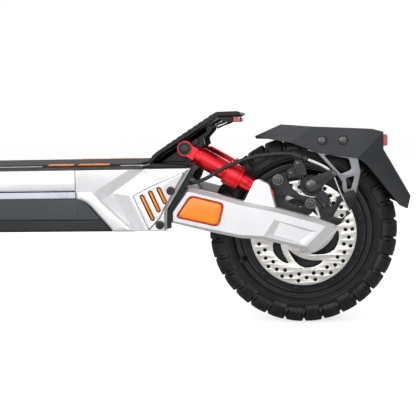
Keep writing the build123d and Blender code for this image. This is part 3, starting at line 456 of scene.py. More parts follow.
def shine(level):
    return {"Specular IOR Level": level}


# look: slot, colour, roughness, metallic, other sockets, mottle (scale, spread), smudge (scale, spread),
# grain (scale, strength, depth), colour of the lighter edges, rubbed wear on most and a painted highlight on screw_dark
FINISHES = {
    "silver": ("silver", (0.80, 0.805, 0.82), 0.33, 0.55, coat(0.15, 0.3),
        (30, 0.03), (25, 0.06), (2600, 0.2, 0.00006), None),
    "black": ("black_alu", (0.0075, 0.008, 0.0095), 0.36, 0.0, shine(0.28),
        (60, 0.3), (35, 0.1), (2800, 0.3, 0.00008), (0.09, 0.095, 0.10)),
    "black_gloss": ("black_alu", (0.007, 0.0075, 0.008), 0.24, 0.0, shine(0.5),
        (90, 0.3), (70, 0.1), (2200, 0.25, 0.00006), (0.10, 0.10, 0.11)),
    "charcoal": ("black_alu", (0.012, 0.0135, 0.016), 0.42, 0.0, shine(0.32),
        (25, 0.15), (20, 0.08), (2200, 0.35, 0.00008), (0.09, 0.095, 0.10)),
    "plastic": ("black_plastic", (0.020, 0.022, 0.026), 0.42, 0.0, shine(0.42),
        (12, 0.15), (14, 0.07), (2100, 0.5, 0.00010), (0.10, 0.105, 0.11)),
    "rubber": ("tyre", (0.0085, 0.009, 0.0095), 0.50, 0.0, shine(0.3),
        (60, 0.4), (45, 0.12), (1300, 0.6, 0.00014), (0.045, 0.044, 0.042)),
    "steel": ("disc_steel", (0.72, 0.70, 0.67), 0.32, 0.85, {},
        (35, 0.05), (180, 0.08), (900, 0.25, 0.00005), None),
    "rim": ("disc_steel", (0.10, 0.10, 0.105), 0.30, 1.0, {},
        (90, 0.1), (90, 0.06), (1200, 0.2, 0.00004), None),
    "screw": ("screw_steel", (0.52, 0.52, 0.52), 0.26, 1.0, {},
        (300, 0.15), (250, 0.08), (1800, 0.25, 0.00004), None),
    # screw_dark's lighter edge colour is a painted highlight round the rims of the screw heads
    "screw_dark": ("screw_steel", (0.09, 0.09, 0.095), 0.22, 0.9, {},
        (300, 0.3), (250, 0.08), (1800, 0.25, 0.00004), (0.35, 0.35, 0.36)),
    "red": ("red_anodised", (0.92, 0.014, 0.026), 0.25, 0.82, coat(0.35, 0.18),
        (50, 0.1), (60, 0.07), (2600, 0.15, 0.00004), None),
    "orange": ("orange", (1.0, 0.27, 0.003), 0.24, 0.0, coat(0.4, 0.1),
        (60, 0.06), (60, 0.05), (1100, 0.25, 0.00006), None),
    "orange_paint": ("orange", (0.95, 0.24, 0.006), 0.45, 0.0, {},
        (90, 0.08), (60, 0.08), (1500, 0.3, 0.00005), None),
    "pale_paint": ("silver", (0.55, 0.55, 0.56), 0.45, 0.0, {},
        (90, 0.1), (60, 0.08), (1500, 0.3, 0.00005), None),
    "reflector_rim": ("orange", (0.50, 0.012, 0.003), 0.22, 0.0, coat(0.5),
        (120, 0.2), (80, 0.05), (900, 0.15, 0.00004), None),
    # vent_rim colours the slot rims, and also the painted shade of the groove round the vent cover
    "vent_rim": ("orange", (0.065, 0.010, 0.006), 0.35, 0.0, {},
        (160, 0.3), (80, 0.08), (1500, 0.3, 0.00005), None),
    "red_lens": ("red_lens", (0.70, 0.006, 0.008), 0.2, 0.0, coat(0.5, 0.08),
        (70, 0.15), (60, 0.05), (800, 0.3, 0.00008), None),
    "grey": ("bracket_grey", (0.27, 0.28, 0.30), 0.45, 0.5, {},
        (45, 0.12), (50, 0.1), (1900, 0.6, 0.00012), (0.6, 0.6, 0.62)),
    "mat": ("deck_rubber", (0.016, 0.016, 0.018), 0.82, 0.0, {},
        (500, 0.5), (60, 0.08), (1100, 1.0, 0.0004), None),
    "lamp": ("lamp", (0.80, 0.82, 0.85), 0.12, 0.0, coat(0.5),
        (80, 0.08), (60, 0.05), (600, 0.2, 0.0001), None),
    "light_bar": ("lamp", (0.58, 0.61, 0.68), 0.30, 0.15, coat(0.3),
        (30, 0.05), (30, 0.06), (1500, 0.2, 0.00005), None),
    "panel": ("box_black", (0.030, 0.036, 0.044), 0.42, 0.1, {},
        (10, 0.1), (18, 0.06), (2400, 0.4, 0.00008), (0.10, 0.11, 0.12)),
    "skirt": ("box_black", (0.014, 0.015, 0.018), 0.45, 0.1, {},
        (10, 0.12), (18, 0.06), (2400, 0.4, 0.00008), (0.09, 0.09, 0.10)),
    "boot_silver": ("disc_steel", (0.78, 0.78, 0.76), 0.34, 0.5, {},
        (200, 0.12), (90, 0.1), (1600, 0.3, 0.00006), None),
    "wire": ("disc_steel", (0.75, 0.75, 0.75), 0.28, 0.9, {},
        (600, 0.1), (300, 0.08), (2600, 0.5, 0.0001), None),
    "blue": ("battery_blue", (0.03, 0.08, 0.28), 0.35, 0.0, {},
        (30, 0.15), (30, 0.1), (700, 0.4, 0.0002), None),
}
GRIT = {
    "mat": ((0.10, 0.10, 0.105), 900, 0.22), "grey": ((0.55, 0.56, 0.58), 1500, 0.2),
    "rubber": ((0.05, 0.048, 0.045), 700, 0.12),
}


def make_look(name):
    _, colour, roughness, metallic, sockets, mottle, smudge, grain, edge_wear_and_highlight = FINISHES[name]
    shader = Shader(name, colour, roughness, metallic, sockets).mottle(*mottle).smudge(*smudge).grain(*grain)
    if edge_wear_and_highlight:
        shader.rub_and_highlight_edges(edge_wear_and_highlight)
    if name in GRIT:
        shader.specks(*GRIT[name])
    return shader.material


LOOK = {name: make_look(name) for name in FINISHES}

# CAD solids that are seen as they are
CAD_LOOK = {
    "black": (
        "deck_plate", "rear_bulkhead", "front_neck", "swingarm_bridge", "fork", "fold_base", "stem", "handlebar",
        "lever_perches", "brake_lever_left", "brake_lever_right", "kickstand", "controller",
    ),
    "charcoal": ("battery_box", "hub_rear", "hub_front", "motor_covers_rear", "motor_covers_front"),
    "plastic": ("front_fender", "display", "bar_controls"),
    "screw": ("axle_rear", "axle_front"),
    "red": ("fold_latch",),
    "orange": ("throttle_paddle", "horn_button"),
    "red_lens": ("tail_light",),
    "mat": ("deck_mat",),
    "lamp": ("light_button",),
    "blue": ("battery_pack",),
}
for look, names in CAD_LOOK.items():
    for name in names:
        NODES[name].data.materials.clear()
        NODES[name].data.materials.append(LOOK[look])

# ---- Wheels ----
CARCASS = (
    (0, 119.6), (13, 119.4), (23, 118.4), (29.0, 115.6), (33.6, 111), (36.6, 105.0), (37.4, 100), (35.6, 95.5),
    (33, 92.3),
)
TREAD = ((0, 127.5), (13, 127.4), (23, 126.9), (31.0, 123.0), (36.0, 116.6), (38.4, 108.5), (38.6, 104.5))
RIM_SEAT = ((30, 92.2), (29.2, 90.2), (-29.2, 90.2), (-30, 92.2))
LUGS = 30


def along_profile(profile, t):
    """Point of a profile at t, counted in its own steps."""
    t = max(0.0, min(t, len(profile) - 1.001))
    i = int(t)
    share = t - i
    return [profile[i][k] * (1 - share) + profile[i + 1][k] * share for k in (0, 1)]


def lug(form, hand, angle, half, t0, t1, skew):
    """One tread block between profile steps t0 and t1, its sides drawn in towards the top."""
    steps = 4
    layers = []
    for height, margin in ((0.0, -0.012), (0.82, 0.0), (1.0, 0.010)):
        grid = []
        for i in range(steps + 1):
            v = i / steps
            t = t0 + (t1 - t0) * v
            t += (0.5 - v) * 2 * margin * 5
            base, top = along_profile(CARCASS, t), along_profile(TREAD, t)
            y = base[0] + (top[0] - base[0]) * height
            radius = base[1] - 0.6 + (top[1] - base[1] + 0.6) * height
            turns = [angle + skew * (v - 0.5) + (k / steps * 2 - 1) * (half - margin) for k in range(steps + 1)]
            grid.append([form.vertex(radius * math.cos(a), hand * y, radius * math.sin(a)) for a in turns])
        layers.append(grid)
    up, down = range(steps), range(steps, 0, -1)
    form.join([
        [grid[0][k] for k in up] + [grid[i][steps] for i in up]
        + [grid[steps][k] for k in down] + [grid[i][0] for i in down]
        for grid in layers
    ])
    bottom, middle_layer, top = layers
    for i in up:
        for k in up:
            form.face((top[i][k], top[i][k + 1], top[i + 1][k + 1], top[i + 1][k]))
            form.face((bottom[i][k], bottom[i + 1][k], bottom[i + 1][k + 1], bottom[i][k + 1]))
    # Only the rim of the layer between the two is part of the block
    for row in middle_layer[1:steps]:
        for vertex in row[1:steps]:
            form.bm.verts.remove(vertex)


def make_tyre(end, place, body):
    form = Form(place)
    form.ring([(-y, r) for y, r in reversed(CARCASS)] + list(CARCASS[1:]) + list(RIM_SEAT), count=120)
    for hand in HANDS:
        for radius, width, step in ((97.5, 0.8, 6.3), (101.2, 0.6, 5.7)):
            low = hand * (along_profile(CARCASS, step)[0] - 0.4)
            high = hand * (along_profile(CARCASS, step)[0] + 0.9)
            half = width / 2
            line = ((low, radius - width), (high, radius - half), (high, radius + half), (low, radius + width))
            form.ring(line, count=120)
    pitch = math.tau / LUGS
    for i in range(LUGS):
        a = i * pitch
        for hand in HANDS:
            lug(form, hand, a, pitch * 0.36, 2.15, 4.7 + 0.6 * (i % 2), 0.02)
            lug(form, hand, a + 0.004, pitch * 0.33, 1.1, 1.95, 0.05)
            # Small step on the side of each block
            lug(form, hand, a + pitch * 0.5, pitch * 0.07, 3.3, 4.5, 0.0)
            lug(form, hand, a, pitch * 0.35, 0.05, 0.85, 0.04)
    finish(f"tyre_{end}_tread", form, "rubber", body, f"tyre_{end}", angle=28)


DISC_R, DISC_Y = 70, (-56, -58)
DISC_BORE_R, DISC_HOLE_R = 14, 2.6
# Window between two arms of the disc, as (radius, degrees)
DISC_WINDOW = (
    (30, 228), (34, 241), (39.8, 254), (44, 263), (46.8, 272), (47.4, 280), (47.6, 288), (47.2, 296), (46.4, 302),
    (44.6, 304), (42.6, 300), (38.5, 287), (35, 273), (32.6, 260), (30.5, 245), (29.4, 234),
)


def polar(radius, degrees):
    return radius * math.cos(math.radians(degrees)), radius * math.sin(math.radians(degrees))


def make_disc(end, place, body):
    """Braking ring with rows of holes, on six swept arms."""
    holes = []
    for i in range(18):
        a = 20 * i + 4
        holes += [circle(polar(r, a + lag), DISC_HOLE_R, 14) for r, lag in ((64.6, 0), (55.6, 0), (60.2, 10))]
    for i in range(6):
        holes.append([polar(r, a + 60 * i) for r, a in DISC_WINDOW])
    holes.append(circle((0, 0), DISC_BORE_R))
    mesh = sheet(circle((0, 0), DISC_R, 160), holes, *DISC_Y, place, 0.25)
    finish(f"disc_{end}_ring", mesh, "steel", body, f"brake_disc_{end}", angle=40)
    bolts = Form(place).screws([polar(22, 30 + 60 * i) for i in range(6)], DISC_Y[1], LEFT, 3.8, 2.2, 0.4)
    finish(f"disc_{end}_bolts", bolts, "screw", body, angle=35)


def make_wheel_trim(end, place, body):
    """Cap screws of the motor covers, the turned edge of the rim and the valve."""
    screws, edge = Form(place), Form(place)
    for hand in HANDS:
        screws.screws([polar(77.5, 12 + 36 * i) for i in range(10)], hand * 45.4, hand, 3.9, 1.9, 0.3)
        profile = ((34.2, 90.6), (35.0, 90.8), (35.0, 91.4), (34.2, 91.8), (33, 91.2))
        edge.ring([(hand * y, r) for y, r in profile], count=120)
    finish(f"motor_screws_{end}", screws, "black", body, slot="axle_steel", angle=35)
    finish(f"rim_edge_{end}", edge, "rim", body)
    foot, lean = polar(86, 205), polar(0.35, 205)
    valve = Form(place).lathe(
        [(0, 3.6), (3, 3.4), (5, 2.6), (9, 2.5), (9.4, 3.1), (15, 3.1), (16, 2.2)],
        (foot[0], -37.5, foot[1]), (lean[0], -1, lean[1]), 16,
    )
    finish(f"valve_{end}", valve, "rubber", body, angle=40)


for end, place in (("rear", rear_wheel), ("front", front_wheel)):
    for make in (make_tyre, make_disc, make_wheel_trim):
        make(end, place, f"{end}_wheel")

# ---- Swingarm ----
ARM_IN, ARM_SHOULDER, ARM_OUT = 65, 79.5, 86
ARM = (
    (-149, 191), (-153, 188), (-172, 160), (-172, 145), (-124, 133), (-82, 124), (-53, 122), (-2, 109),
    (15, 105), (43, 134), (41, 140), (23, 147), (-34, 163), (-81, 173), (-105, 180),
)
ARM_FACE = (
    (-148.5, 186.2), (-150.6, 184.8), (-169.2, 158.9), (-169.2, 147.8), (-122.8, 137.6), (-81.4, 128.8), (-52.4, 127),
    (-1, 114.4), (12.6, 111), (35.8, 134.9), (35.2, 136.6), (21.2, 142), (-35.4, 157.8), (-82.2, 167.8), (-105.8, 175),
)
FIN = ((-82, 170), (-76, 173.5), (-63.4, 198), (-61, 200), (-56, 200.6), (-45, 195), (-42.4, 191.5), (-33, 156))
FIN_LEVELS, FIN_EDGE = (68, 76.5, 78), 1.5
PANEL = ((-38, 148.5), (17, 132.5), (0, 116.5), (-52, 127))
PANEL_SLOPES = ((7, -2), (-3, -0.5), (-6, 0.5), (11, 0.5))
TAIL_CUT = ((44, 136), (60, 142), (60, 90), (14, 90), (13, 103))
TAIL_FACE = ((30, 141), (60, 142), (60, 90), (-6, 90), (-3, 108))
REFLECTOR = ((-146.5, 182), (-101.5, 170.6), (-109.5, 139.4), (-167, 152.6))
REFLECTOR_RIM = ((0, 85), (0, 87.6), (0.9, 88.4), (2.2, 87.8), (2.4, 86))
REFLECTOR_LENS = ((2.3, 86), (2.3, 87.6), (3.4, 88.4), (6.5, 89.0))
ROOT = ((-172, 160), (-182, 190), (-170, 202), (-150, 190), (-140, 150), (-172, 146))
PIVOT = (-169, 189)


def make_swingarm(hand, name):
    arm = Form().loft((ARM, hand * ARM_IN), (ARM, hand * ARM_SHOULDER), (ARM_FACE, hand * ARM_OUT))
    floor = [(x + dx, z + dz) for (x, z), (dx, dz) in zip(inset(PANEL, 1.6), PANEL_SLOPES)]
    recess = Form().loft((floor, hand * 82.4), (PANEL, hand * 86.1), (PANEL, hand * 90))
    tail = Form().loft((TAIL_CUT, hand * 77), (TAIL_FACE, hand * 86.2), (TAIL_FACE, hand * 90))
    mesh = carve(arm.to_mesh(name), recess, tail)
    finish(f"{name}_cover", mesh, "silver", "swingarm", name, bevel=1.3, segments=3, angle=14)
    fin = Form().button(FIN, FIN_LEVELS, FIN_EDGE, hand)
    finish(f"{name}_fin", fin, "silver", "swingarm", bevel=0.9, segments=3, angle=20)
    # The root is silver metal, coloured black here: painted shade in the hollow round the pivot
    root_shade = Form().prism(rounded(ROOT, 4), hand * 62.6, hand * 68.4)
    finish(f"{name}_root", root_shade, "black", "swingarm", slot="silver", bevel=0.8)
    for part, look, levels, radius, angle in (
        ("reflector_rim", "reflector_rim", REFLECTOR_RIM, 7, 50), ("reflector", "orange", REFLECTOR_LENS, 8.5, 25),
    ):
        shape = Form().loft(*((rounded(inset(REFLECTOR, depth), radius - depth), hand * y) for depth, y in levels))
        node = once(hand, "reflectors") if part == "reflector" else None
        finish(f"{name}_{part}", shape, look, "swingarm", node, angle=angle)


for hand, label in SIDES:
    make_swingarm(hand, f"swingarm_{label}")

# ---- Rear castings and vent covers ----
# Rim of the casting as (x, z, y), and the two corners inside it where its outer face folds into the valley
CHEEK_RIM = (
    (-294, 216.7, 101.2), (-294, 189.5, 101.2), (-294, 177.6, 97), (-281, 174, 97), (-269, 162, 96), (-246, 136, 93.5),
    (-177, 136, 93.5), (-176, 164, 94), (-144, 216.7, 95), (-204, 216.7, 95.5), (-222, 216.7, 101.2),
)
CHEEK_FOLD = ((-267, 190, 101.2), (-251, 183, 95))
LIP = (
    (-294, 189.5), (-294, 177.6), (-287, 176.6), (-281, 174), (-275, 169), (-269, 162), (-246, 136),
    (-216, 136), (-259, 176), (-265, 184), (-270, 188.5), (-278, 190),
)
BOX_FOOT = ((-250, 187), (-205, 216), (-145, 216.4), (-176.6, 165), (-177.4, 136.2), (-220, 136.2))
BOX_TOP = ((-224, 184), (-190, 200), (-149.5, 214.6), (-178, 166.3), (-178.8, 137.4), (-202, 137.4))
VENT = ((-218, 182.5), (-188, 197), (-152, 211.8), (-179, 166), (-184.5, 154), (-198.5, 139))
VENT_SLOTS = (((-206.5, 181.5), (-193.5, 153)), ((-195.5, 186.5), (-185.5, 164)), ((-184.5, 191), (-177, 174.5)))
VENT_SLOT_HALF, VENT_CORE_HALF = 2.9, 1.5
# Outline of a black strip just behind the casting's rear edge, painted shade in the gap there
CASTING_GAP_SHADE = (
    (-150, 216), (-141, 215), (-147.5, 196), (-152, 189.5), (-171, 161), (-171, 139), (-180, 137), (-180, 166),
)
CASTING_BOLTS = (PIVOT, (-184, 145))


def make_casting(hand, label):
    cheek = Form()
    rim = [cheek.vertex(x, hand * y, z) for x, z, y in CHEEK_RIM]
    fold, valley = (cheek.vertex(x, hand * y, z) for x, z, y in CHEEK_FOLD)
    back = [cheek.vertex(x, hand * 88, z) for x, z, y in CHEEK_RIM]
    cheek.join([back, rim])
    for loop in (
        back, (rim[0], rim[1], fold, rim[10]), (rim[10], fold, valley, rim[9]),
        (*rim[1:5], valley, fold), (valley, *rim[4:8]), (valley, *rim[7:10]),
    ):
        cheek.face(loop)
    node = once(hand, "rear_castings")
    finish(f"casting_{label}", cheek, "silver", "chassis", node, bevel=0.8, segments=3, angle=20)
    lip = Form().loft(
        (LIP, hand * 92), (LIP, hand * 99.6), (inset(LIP, 2.6), hand * 102.2), (inset(LIP, 5.5), hand * 102.8),
    )
    finish(f"casting_{label}_lip", lip, "silver", "chassis", bevel=1.0, segments=3, angle=12)
    shoulder = [((a[0] + b[0] * 5) / 6, (a[1] + b[1] * 5) / 6) for a, b in zip(BOX_FOOT, BOX_TOP)]
    box = Form().loft(
        (BOX_FOOT, hand * 91), (BOX_FOOT, hand * 94), (shoulder, hand * 101.6), (BOX_TOP, hand * 102.8),
    )
    finish(f"casting_{label}_box", box, "silver", "chassis", bevel=1.3, segments=3, angle=12)
    # A dark ring 0.9 mm wider than the cover, laid under it: painted shade of the groove round the cover
    gap_shade = sheet(rounded(inset(VENT, -0.9), 3.2), [], hand * 102.3, hand * 103.2, rear, 0.2)
    finish(f"vent_{label}_seal", gap_shade, "vent_rim", "chassis")
    slots = [stadium(*slot, VENT_SLOT_HALF) for slot in VENT_SLOTS]
    cover = sheet(rounded(VENT, 3), slots, hand * 102.6, hand * 104.6, rear, 0.45)
    finish(f"vent_{label}_cover", cover, "silver", "chassis", once(hand, "vent_covers"), angle=40)
    rims, cores = Form(), Form()
    for slot, outer in zip(VENT_SLOTS, slots):
        inner = stadium(*slot, VENT_CORE_HALF)
        loops = (
            (outer, 102.8), (outer, 105.0), (inset(outer, 0.7), 105.2), (inner, 104.4), (inner, 102.8), (outer, 102.8),
        )
        rims.join([[rims.vertex(x, hand * y, z) for x, z in loop] for loop, y in loops])
        cores.button(inner, (102.8, 103.8, 104.4), 0.8, hand)
    finish(f"vent_{label}_rims", rims, "vent_rim", "chassis", angle=50)
    finish(f"vent_{label}_cores", cores, "orange", "chassis", once(hand, "vent_inserts"), angle=40)
    # Black strip behind the casting's rear edge: painted shade in the gap between the casting and the parts behind it
    shade = Form().prism(CASTING_GAP_SHADE, hand * 86.7, hand * 88.2)
    finish(f"casting_{label}_seal", shade, "black", "chassis", bevel=0.3)
    bolts = Form().screws(CASTING_BOLTS, hand * 103.6, hand, 5.5, 4.2, 0.6)
    for x, z in CASTING_BOLTS:
        bolts.rod((x, hand * 95, z), hand, 4.4, 9)
    node = once(hand, "chassis_bolts")
    finish(f"casting_{label}_bolts", bolts, "black_gloss", "chassis", node, "screw_steel", angle=35)


for hand, label in SIDES:
    make_casting(hand, label)
pin = Form().rod((PIVOT[0], -95, PIVOT[1]), RIGHT, 7.5, 190, 32)
finish("pivot_pin", pin, "screw", "chassis", angle=40)

# ---- Deck: rails, light bars, battery side panels, mat ----
RAIL_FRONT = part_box("side_rails")[0].x / MM - REAR_X
# Bars of constant section: name, look, front end behind the rail's, rear end, slant of the rear end, angle of the
# edges that are rounded, section as (distance from the middle, height)
DECK_BARS = (
    ("rail", "silver", 0, -294.6, 0.0, 30, (
        (88, 216.8), (99.6, 216.8), (100.9, 215.6), (101.5, 203), (101.9, 193), (101.2, 191.2), (99, 189.6),
        (88, 189.4),
    )),
    ("light_bar", "light_bar", 8, -294.4, 0.0, 20, (
        (96, 188.4), (101.2, 188.4), (102.2, 187), (102.2, 181.5), (101.6, 180.2), (96, 180.2),
    )),
    ("battery_panel", "panel", 12, -292, 0.0, 20, (
        (96, 179.6), (102.4, 179.6), (103.1, 178.6), (103.6, 166), (103.6, 153.6), (102.8, 152.2), (96, 152.2),
    )),
    ("battery_skirt", "skirt", 14, -260.6, 0.885, 20, (
        (93, 151.6), (102.6, 151.6), (103.0, 150.8), (102.2, 140), (100.6, 136.6), (93, 136.6),
    )),
)
PANEL_END = ((-293, 179.0), (-286.5, 177.2), (-280, 173.4), (-270.5, 162.6), (-261.2, 152.2), (-293, 152.2))

for hand, label in SIDES:
    for name, look, back, x1, slant, angle, profile in DECK_BARS:
        bar = Form()
        top = profile[0][1]
        bar.skin([
            [bar.vertex(x + lean * (top - z), hand * y, z) for y, z in profile]
            for x, lean in ((RAIL_FRONT + back, 0), (x1, slant))
        ])
        node = once(hand, "side_rails") if name == "rail" else None
        finish(f"{name}_{label}", bar, look, "chassis", node, bevel=0.25, angle=angle)
    tail_panel = Form().button(PANEL_END, (96, 102.6, 103.2), 0.6, hand)
    finish(f"battery_end_{label}", tail_panel, "panel", "chassis", bevel=0.3)

mat_low, mat_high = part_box("deck_mat")
MAT_HALF, MAT_LOW, MAT_TOP = mat_high.y / MM, mat_low.z / MM, mat_high.z / MM


def make_stripes():
    """Coloured lines along the edges of the mat, in pairs that meet near the casting's seam."""
    orange, pale = Form(), Form()
    for hand in HANDS:
        y = hand * (MAT_HALF - 1.5)
        for x0, x1 in ((-331, -295.5), (-291.5, -249)):
            outline = ((x0, MAT_TOP - 1.2), (x1, MAT_TOP - 1.2), (x1, MAT_TOP + 0.5), (x0 + 3, MAT_TOP + 0.5))
            orange.prism(outline, y - hand * 5, y + hand * 1.9)
        for x0, x1 in ((-235, -205), (-470, -338), (-700, -480)):
            outline = ((x0, MAT_LOW + 1.0), (x1, MAT_LOW + 1.0), (x1, MAT_LOW + 1.9), (x0, MAT_LOW + 1.9))
            pale.prism(outline, y, y + hand * 1.9)
    finish("mat_stripes", orange, "orange_paint", "chassis", bevel=0.2)
    finish("mat_lines", pale, "pale_paint", "chassis", bevel=0.1)


make_stripes()

# ---- Rear footrest ----
# Upper outline, shared by the thin tread plate and the deeper lips along its two sides
TREAD_TOP = (
    (-205.5, 224.6), (-197.5, 231.2), (-196.5, 233.4), (-190, 238.6), (-113, 287.9), (-110, 288.8), (-84, 289.2),
    (-80.5, 287.8),
)
TREAD_LIP = TREAD_TOP + ((-80, 286.6), (-84, 284.4), (-86, 283), (-108, 283), (-186, 234.5), (-199, 222.6))
TREAD_PLATE = TREAD_TOP + ((-80.5, 286.4), (-84, 285.6), (-86, 285.4), (-109, 285.4), (-188.6, 235.8), (-202, 223.6))
RIB = (
    (-203, 217), (-152, 217), (-143, 236), (-129, 245.6), (-130.8, 254.1), (-121.2, 265.1), (-120.6, 268.4),
    (-123.6, 273.8), (-183, 237), (-203, 222.6),
)
BRACE = ((-124.6, 271.6), (-120.5, 266.4), (-111, 270.6), (-99.5, 274.4), (-99, 283), (-110, 283))
BRACE_WINDOW = ((-122.6, 272.4), (-120.4, 269.6), (-110.8, 273), (-103.4, 277.4), (-104.6, 280), (-110.4, 281.6))
HANDLE = ((-102, 275.3), (-90.2, 275.8), (-90.2, 282.8), (-108, 282.8), (-107, 279.2))
HANDLE_LAMP = ((-90, 275.6), (-84.2, 275.8), (-83.4, 276.6), (-83.4, 282.2), (-90, 282.6))
FOOT = ((-206, 217), (-152, 217), (-152, 220.4), (-200, 223))
GRIP_STRIPS, GRIP_PITCH = 9, 8.4


def make_footrest():
    tread = Form().prism(TREAD_PLATE, -69, 69)
    for hand in HANDS:
        tread.button(TREAD_LIP, (68, 74, 75), 0.8, hand)
    finish("footrest", tread, "black", "chassis", "kickplate", bevel=0.6, angle=12)
    grips = Form()
    lean = Vector((-77, -49.3)).normalized()
    over = Vector((lean.y, -lean.x))
    for k in range(GRIP_STRIPS):
        start = Vector((-118, 284.7)) + lean * (GRIP_PITCH * k)
        end = start + lean * (GRIP_PITCH / 2)
        outline = [tuple(p) for p in (start - over * 0.5, end - over * 0.5, end + over * 0.9, start + over * 0.9)]
        grips.prism(outline, -66, 66)
    finish("footrest_grips", grips, "mat", "chassis", bevel=0.25)
    for hand, label in SIDES:
        rib = Form().button(RIB, (42, 48.8, 49.5), 0.8, hand)
        rib.loft((inset(RIB, 6), hand * 49), (inset(RIB, 7.5), hand * 51.5))
        finish(f"footrest_rib_{label}", rib, "black", "chassis", bevel=0.8)
        brace = sheet(BRACE, [BRACE_WINDOW], hand * 66, hand * 70, rear, 0.4)
        finish(f"footrest_brace_{label}", brace, "black", "chassis", angle=35)
        handle = Form().button(HANDLE, (40, 70.3, 71), 0.7, hand)
        finish(f"footrest_handle_{label}", handle, "black", "chassis", bevel=0.4)
        lamp = Form().button(rounded(HANDLE_LAMP, 1), (22, 68.9, 69.5), 0.6, hand)
        finish(f"footrest_lamp_{label}", lamp, "red_lens", "chassis", once(hand, "kickplate_lamps"), angle=40)
    foot = Form().loft((inset(FOOT, 0.3), -75), (FOOT, -74.5), (FOOT, 74.5), (inset(FOOT, 0.3), 75))
    finish("footrest_foot", foot, "black", "chassis", bevel=0.4)


make_footrest()


# ---- Shock absorbers ----
SHOCK_Y = 58
REAR_SHOCK_TOP, REAR_SHOCK_FOOT = (-154.3, 241.6), (-47, 179.5)
FRONT_SHOCK_TOP, FRONT_SHOCK_FOOT = (12, 290), (-8, 178)


def eye_outline(centre, radius, towards, reach, half):
    """Eye and its neck as one outline in the shock's plane."""
    lean = math.atan2(towards[1], towards[0])
    points = []
    for i in range(21):
        a = lean + math.radians(52) + math.radians(256) * i / 20
        points.append((centre[0] + radius * math.cos(a), centre[1] + radius * math.sin(a)))
    out = Vector((math.cos(lean), math.sin(lean)))
    over = Vector((-out.y, out.x))
    return points + [tuple(Vector(centre) + out * reach + over * half * hand) for hand in (-1, 1)]


def make_shock(end, place, top, foot, cylinder_end, sleeve, cap, bodies, grooves):
    """A pair of shocks from their top bolts to the pins at their feet; sleeve is its start and end from the top."""
    span = math.dist(top, foot)
    down = ((foot[0] - top[0]) / span, (foot[1] - top[1]) / span)
    along = (down[0], 0, down[1])
    s, e = sleeve
    cylinder = [
        (15.5, 0), (15.5, 9.5), (16.5, 11.2), (17.5, 11.6), (18.6, 11.6), (18.8, 10.4), (19.8, 10.4), (20, 12.4),
        (21, 13.0), (22.2, 13.1), (22.4, 12.5), (23.2, 12.5), (23.4, 13.1),
    ]
    for groove in grooves:
        cylinder += [(groove, 13.1), (groove + 0.3, 12.6), (groove + 1.1, 12.6), (groove + 1.4, 13.1)]
    cylinder += [(cylinder_end - 0.6, 13.1), (cylinder_end, 12.4), (cylinder_end, 0)]
    barrel = [
        (s, 13.5), (s, 15.2), (s + 0.8, 16.0), (s + 2.6, 16.0), (s + 3.0, 15.3), (s + 4.2, 15.3), (s + 4.6, 16.0),
        (e - 5.4, 16.0), (e - 4.8, 15.4), (e - 4.2, 16.0), (e - 0.9, 16.0), (e, 15.2), (e, 10.4), (e + 0.5, 10.4),
        (e + 1.2, 9.4), (e + 2.6, 9.4), (e + 3.2, 10.4), (e + cap - 2, 10.4), (e + cap - 1, 9.6), (e + cap, 9.4),
        (e + cap, 0), (e - 3, 0), (e - 3, 13.4),
    ]
    washer = [(0, 0), (0, 8.8), (2.6, 9.0), (3.4, 8.4), (3.4, 7.2), (2.2, 6.8), (2.2, 0)]
    eye = eye_outline(top, 10.9, down, 17, 9)
    tongue = eye_outline(foot, 9.5, (-down[0], -down[1]), span - e - 1, 7)
    upper, lower, bolts = Form(place), Form(place), Form(place)
    for hand in HANDS:
        y = hand * SHOCK_Y
        upper.lathe(cylinder, (top[0], y, top[1]), along, 56)
        upper.loft((inset(eye, 0.8), y - 8), (eye, y - 7), (eye, y + 7), (inset(eye, 0.8), y + 8))
        lower.lathe(barrel, (top[0], y, top[1]), along, 56)
        lower.button(tongue, (59.3, 66.4, 66.8), 0.4, hand)
        bolts.lathe(washer, (top[0], hand * 66.1, top[1]), (0, hand, 0), 40)
        bolts.socket_screw(*top, hand * 66.1, hand, 6.2, 4.0, 0.5)
    upper_body, lower_body, bolt_body = bodies
    finish(f"shock_{end}_upper", upper, "red", upper_body, f"shock_cylinders_{end}", angle=40)
    finish(f"shock_{end}_lower", lower, "red", lower_body, f"shock_sleeves_{end}", angle=40)
    finish(f"shock_{end}_bolts", bolts, "black_gloss", bolt_body, slot="screw_steel", angle=35)


make_shock(
    "rear", rear, REAR_SHOCK_TOP, REAR_SHOCK_FOOT, 71, (62, 84.5), 16,
    ("rear_shock_upper", "rear_shock_lower", "chassis"), (58, 60.5),
)
make_shock(
    "front", front, FRONT_SHOCK_TOP, FRONT_SHOCK_FOOT, 51, (46, 71.5), 11,
    ("steering", "front_shock_lower", "steering"), (40,),
)

# ---- Rear mudguard ----
FENDER_POINTS = {
    "nose": (-63, 34, 256), "nose_low": (-46, 40, 252), "top_front": (-28, 50, 271), "fold_top": (13, 57.6, 267.4),
    "fold_low": (-17, 57.8, 247), "side_low": (20, 58, 233), "side_back": (72, 58, 225), "top_back": (90, 57, 263),
    "corner": (105, 55.6, 259), "flap_1": (84, 56.5, 216), "flap_2": (98, 53.5, 199), "flap_3": (127, 47, 162),
    "flap_tip": (138, 44.5, 157), "flap_out": (142, 43, 174), "light": (106, 48, 236),
}
FENDER_FACES = (
    ("nose", "top_front", "fold_top", "fold_low", "nose_low"),
    ("fold_top", "top_back", "corner", "side_back", "side_low", "fold_low"),
    ("corner", "light", "flap_out", "flap_tip", "flap_3", "flap_2", "flap_1", "side_back"),
)
FENDER_SPINE = ("nose", "top_front", "fold_top", "top_back", "corner", "light", "flap_out", "flap_tip")
FENDER_SCREWS = ((26, 249), (53, 249))
FENDER_THICKNESS = 2.6


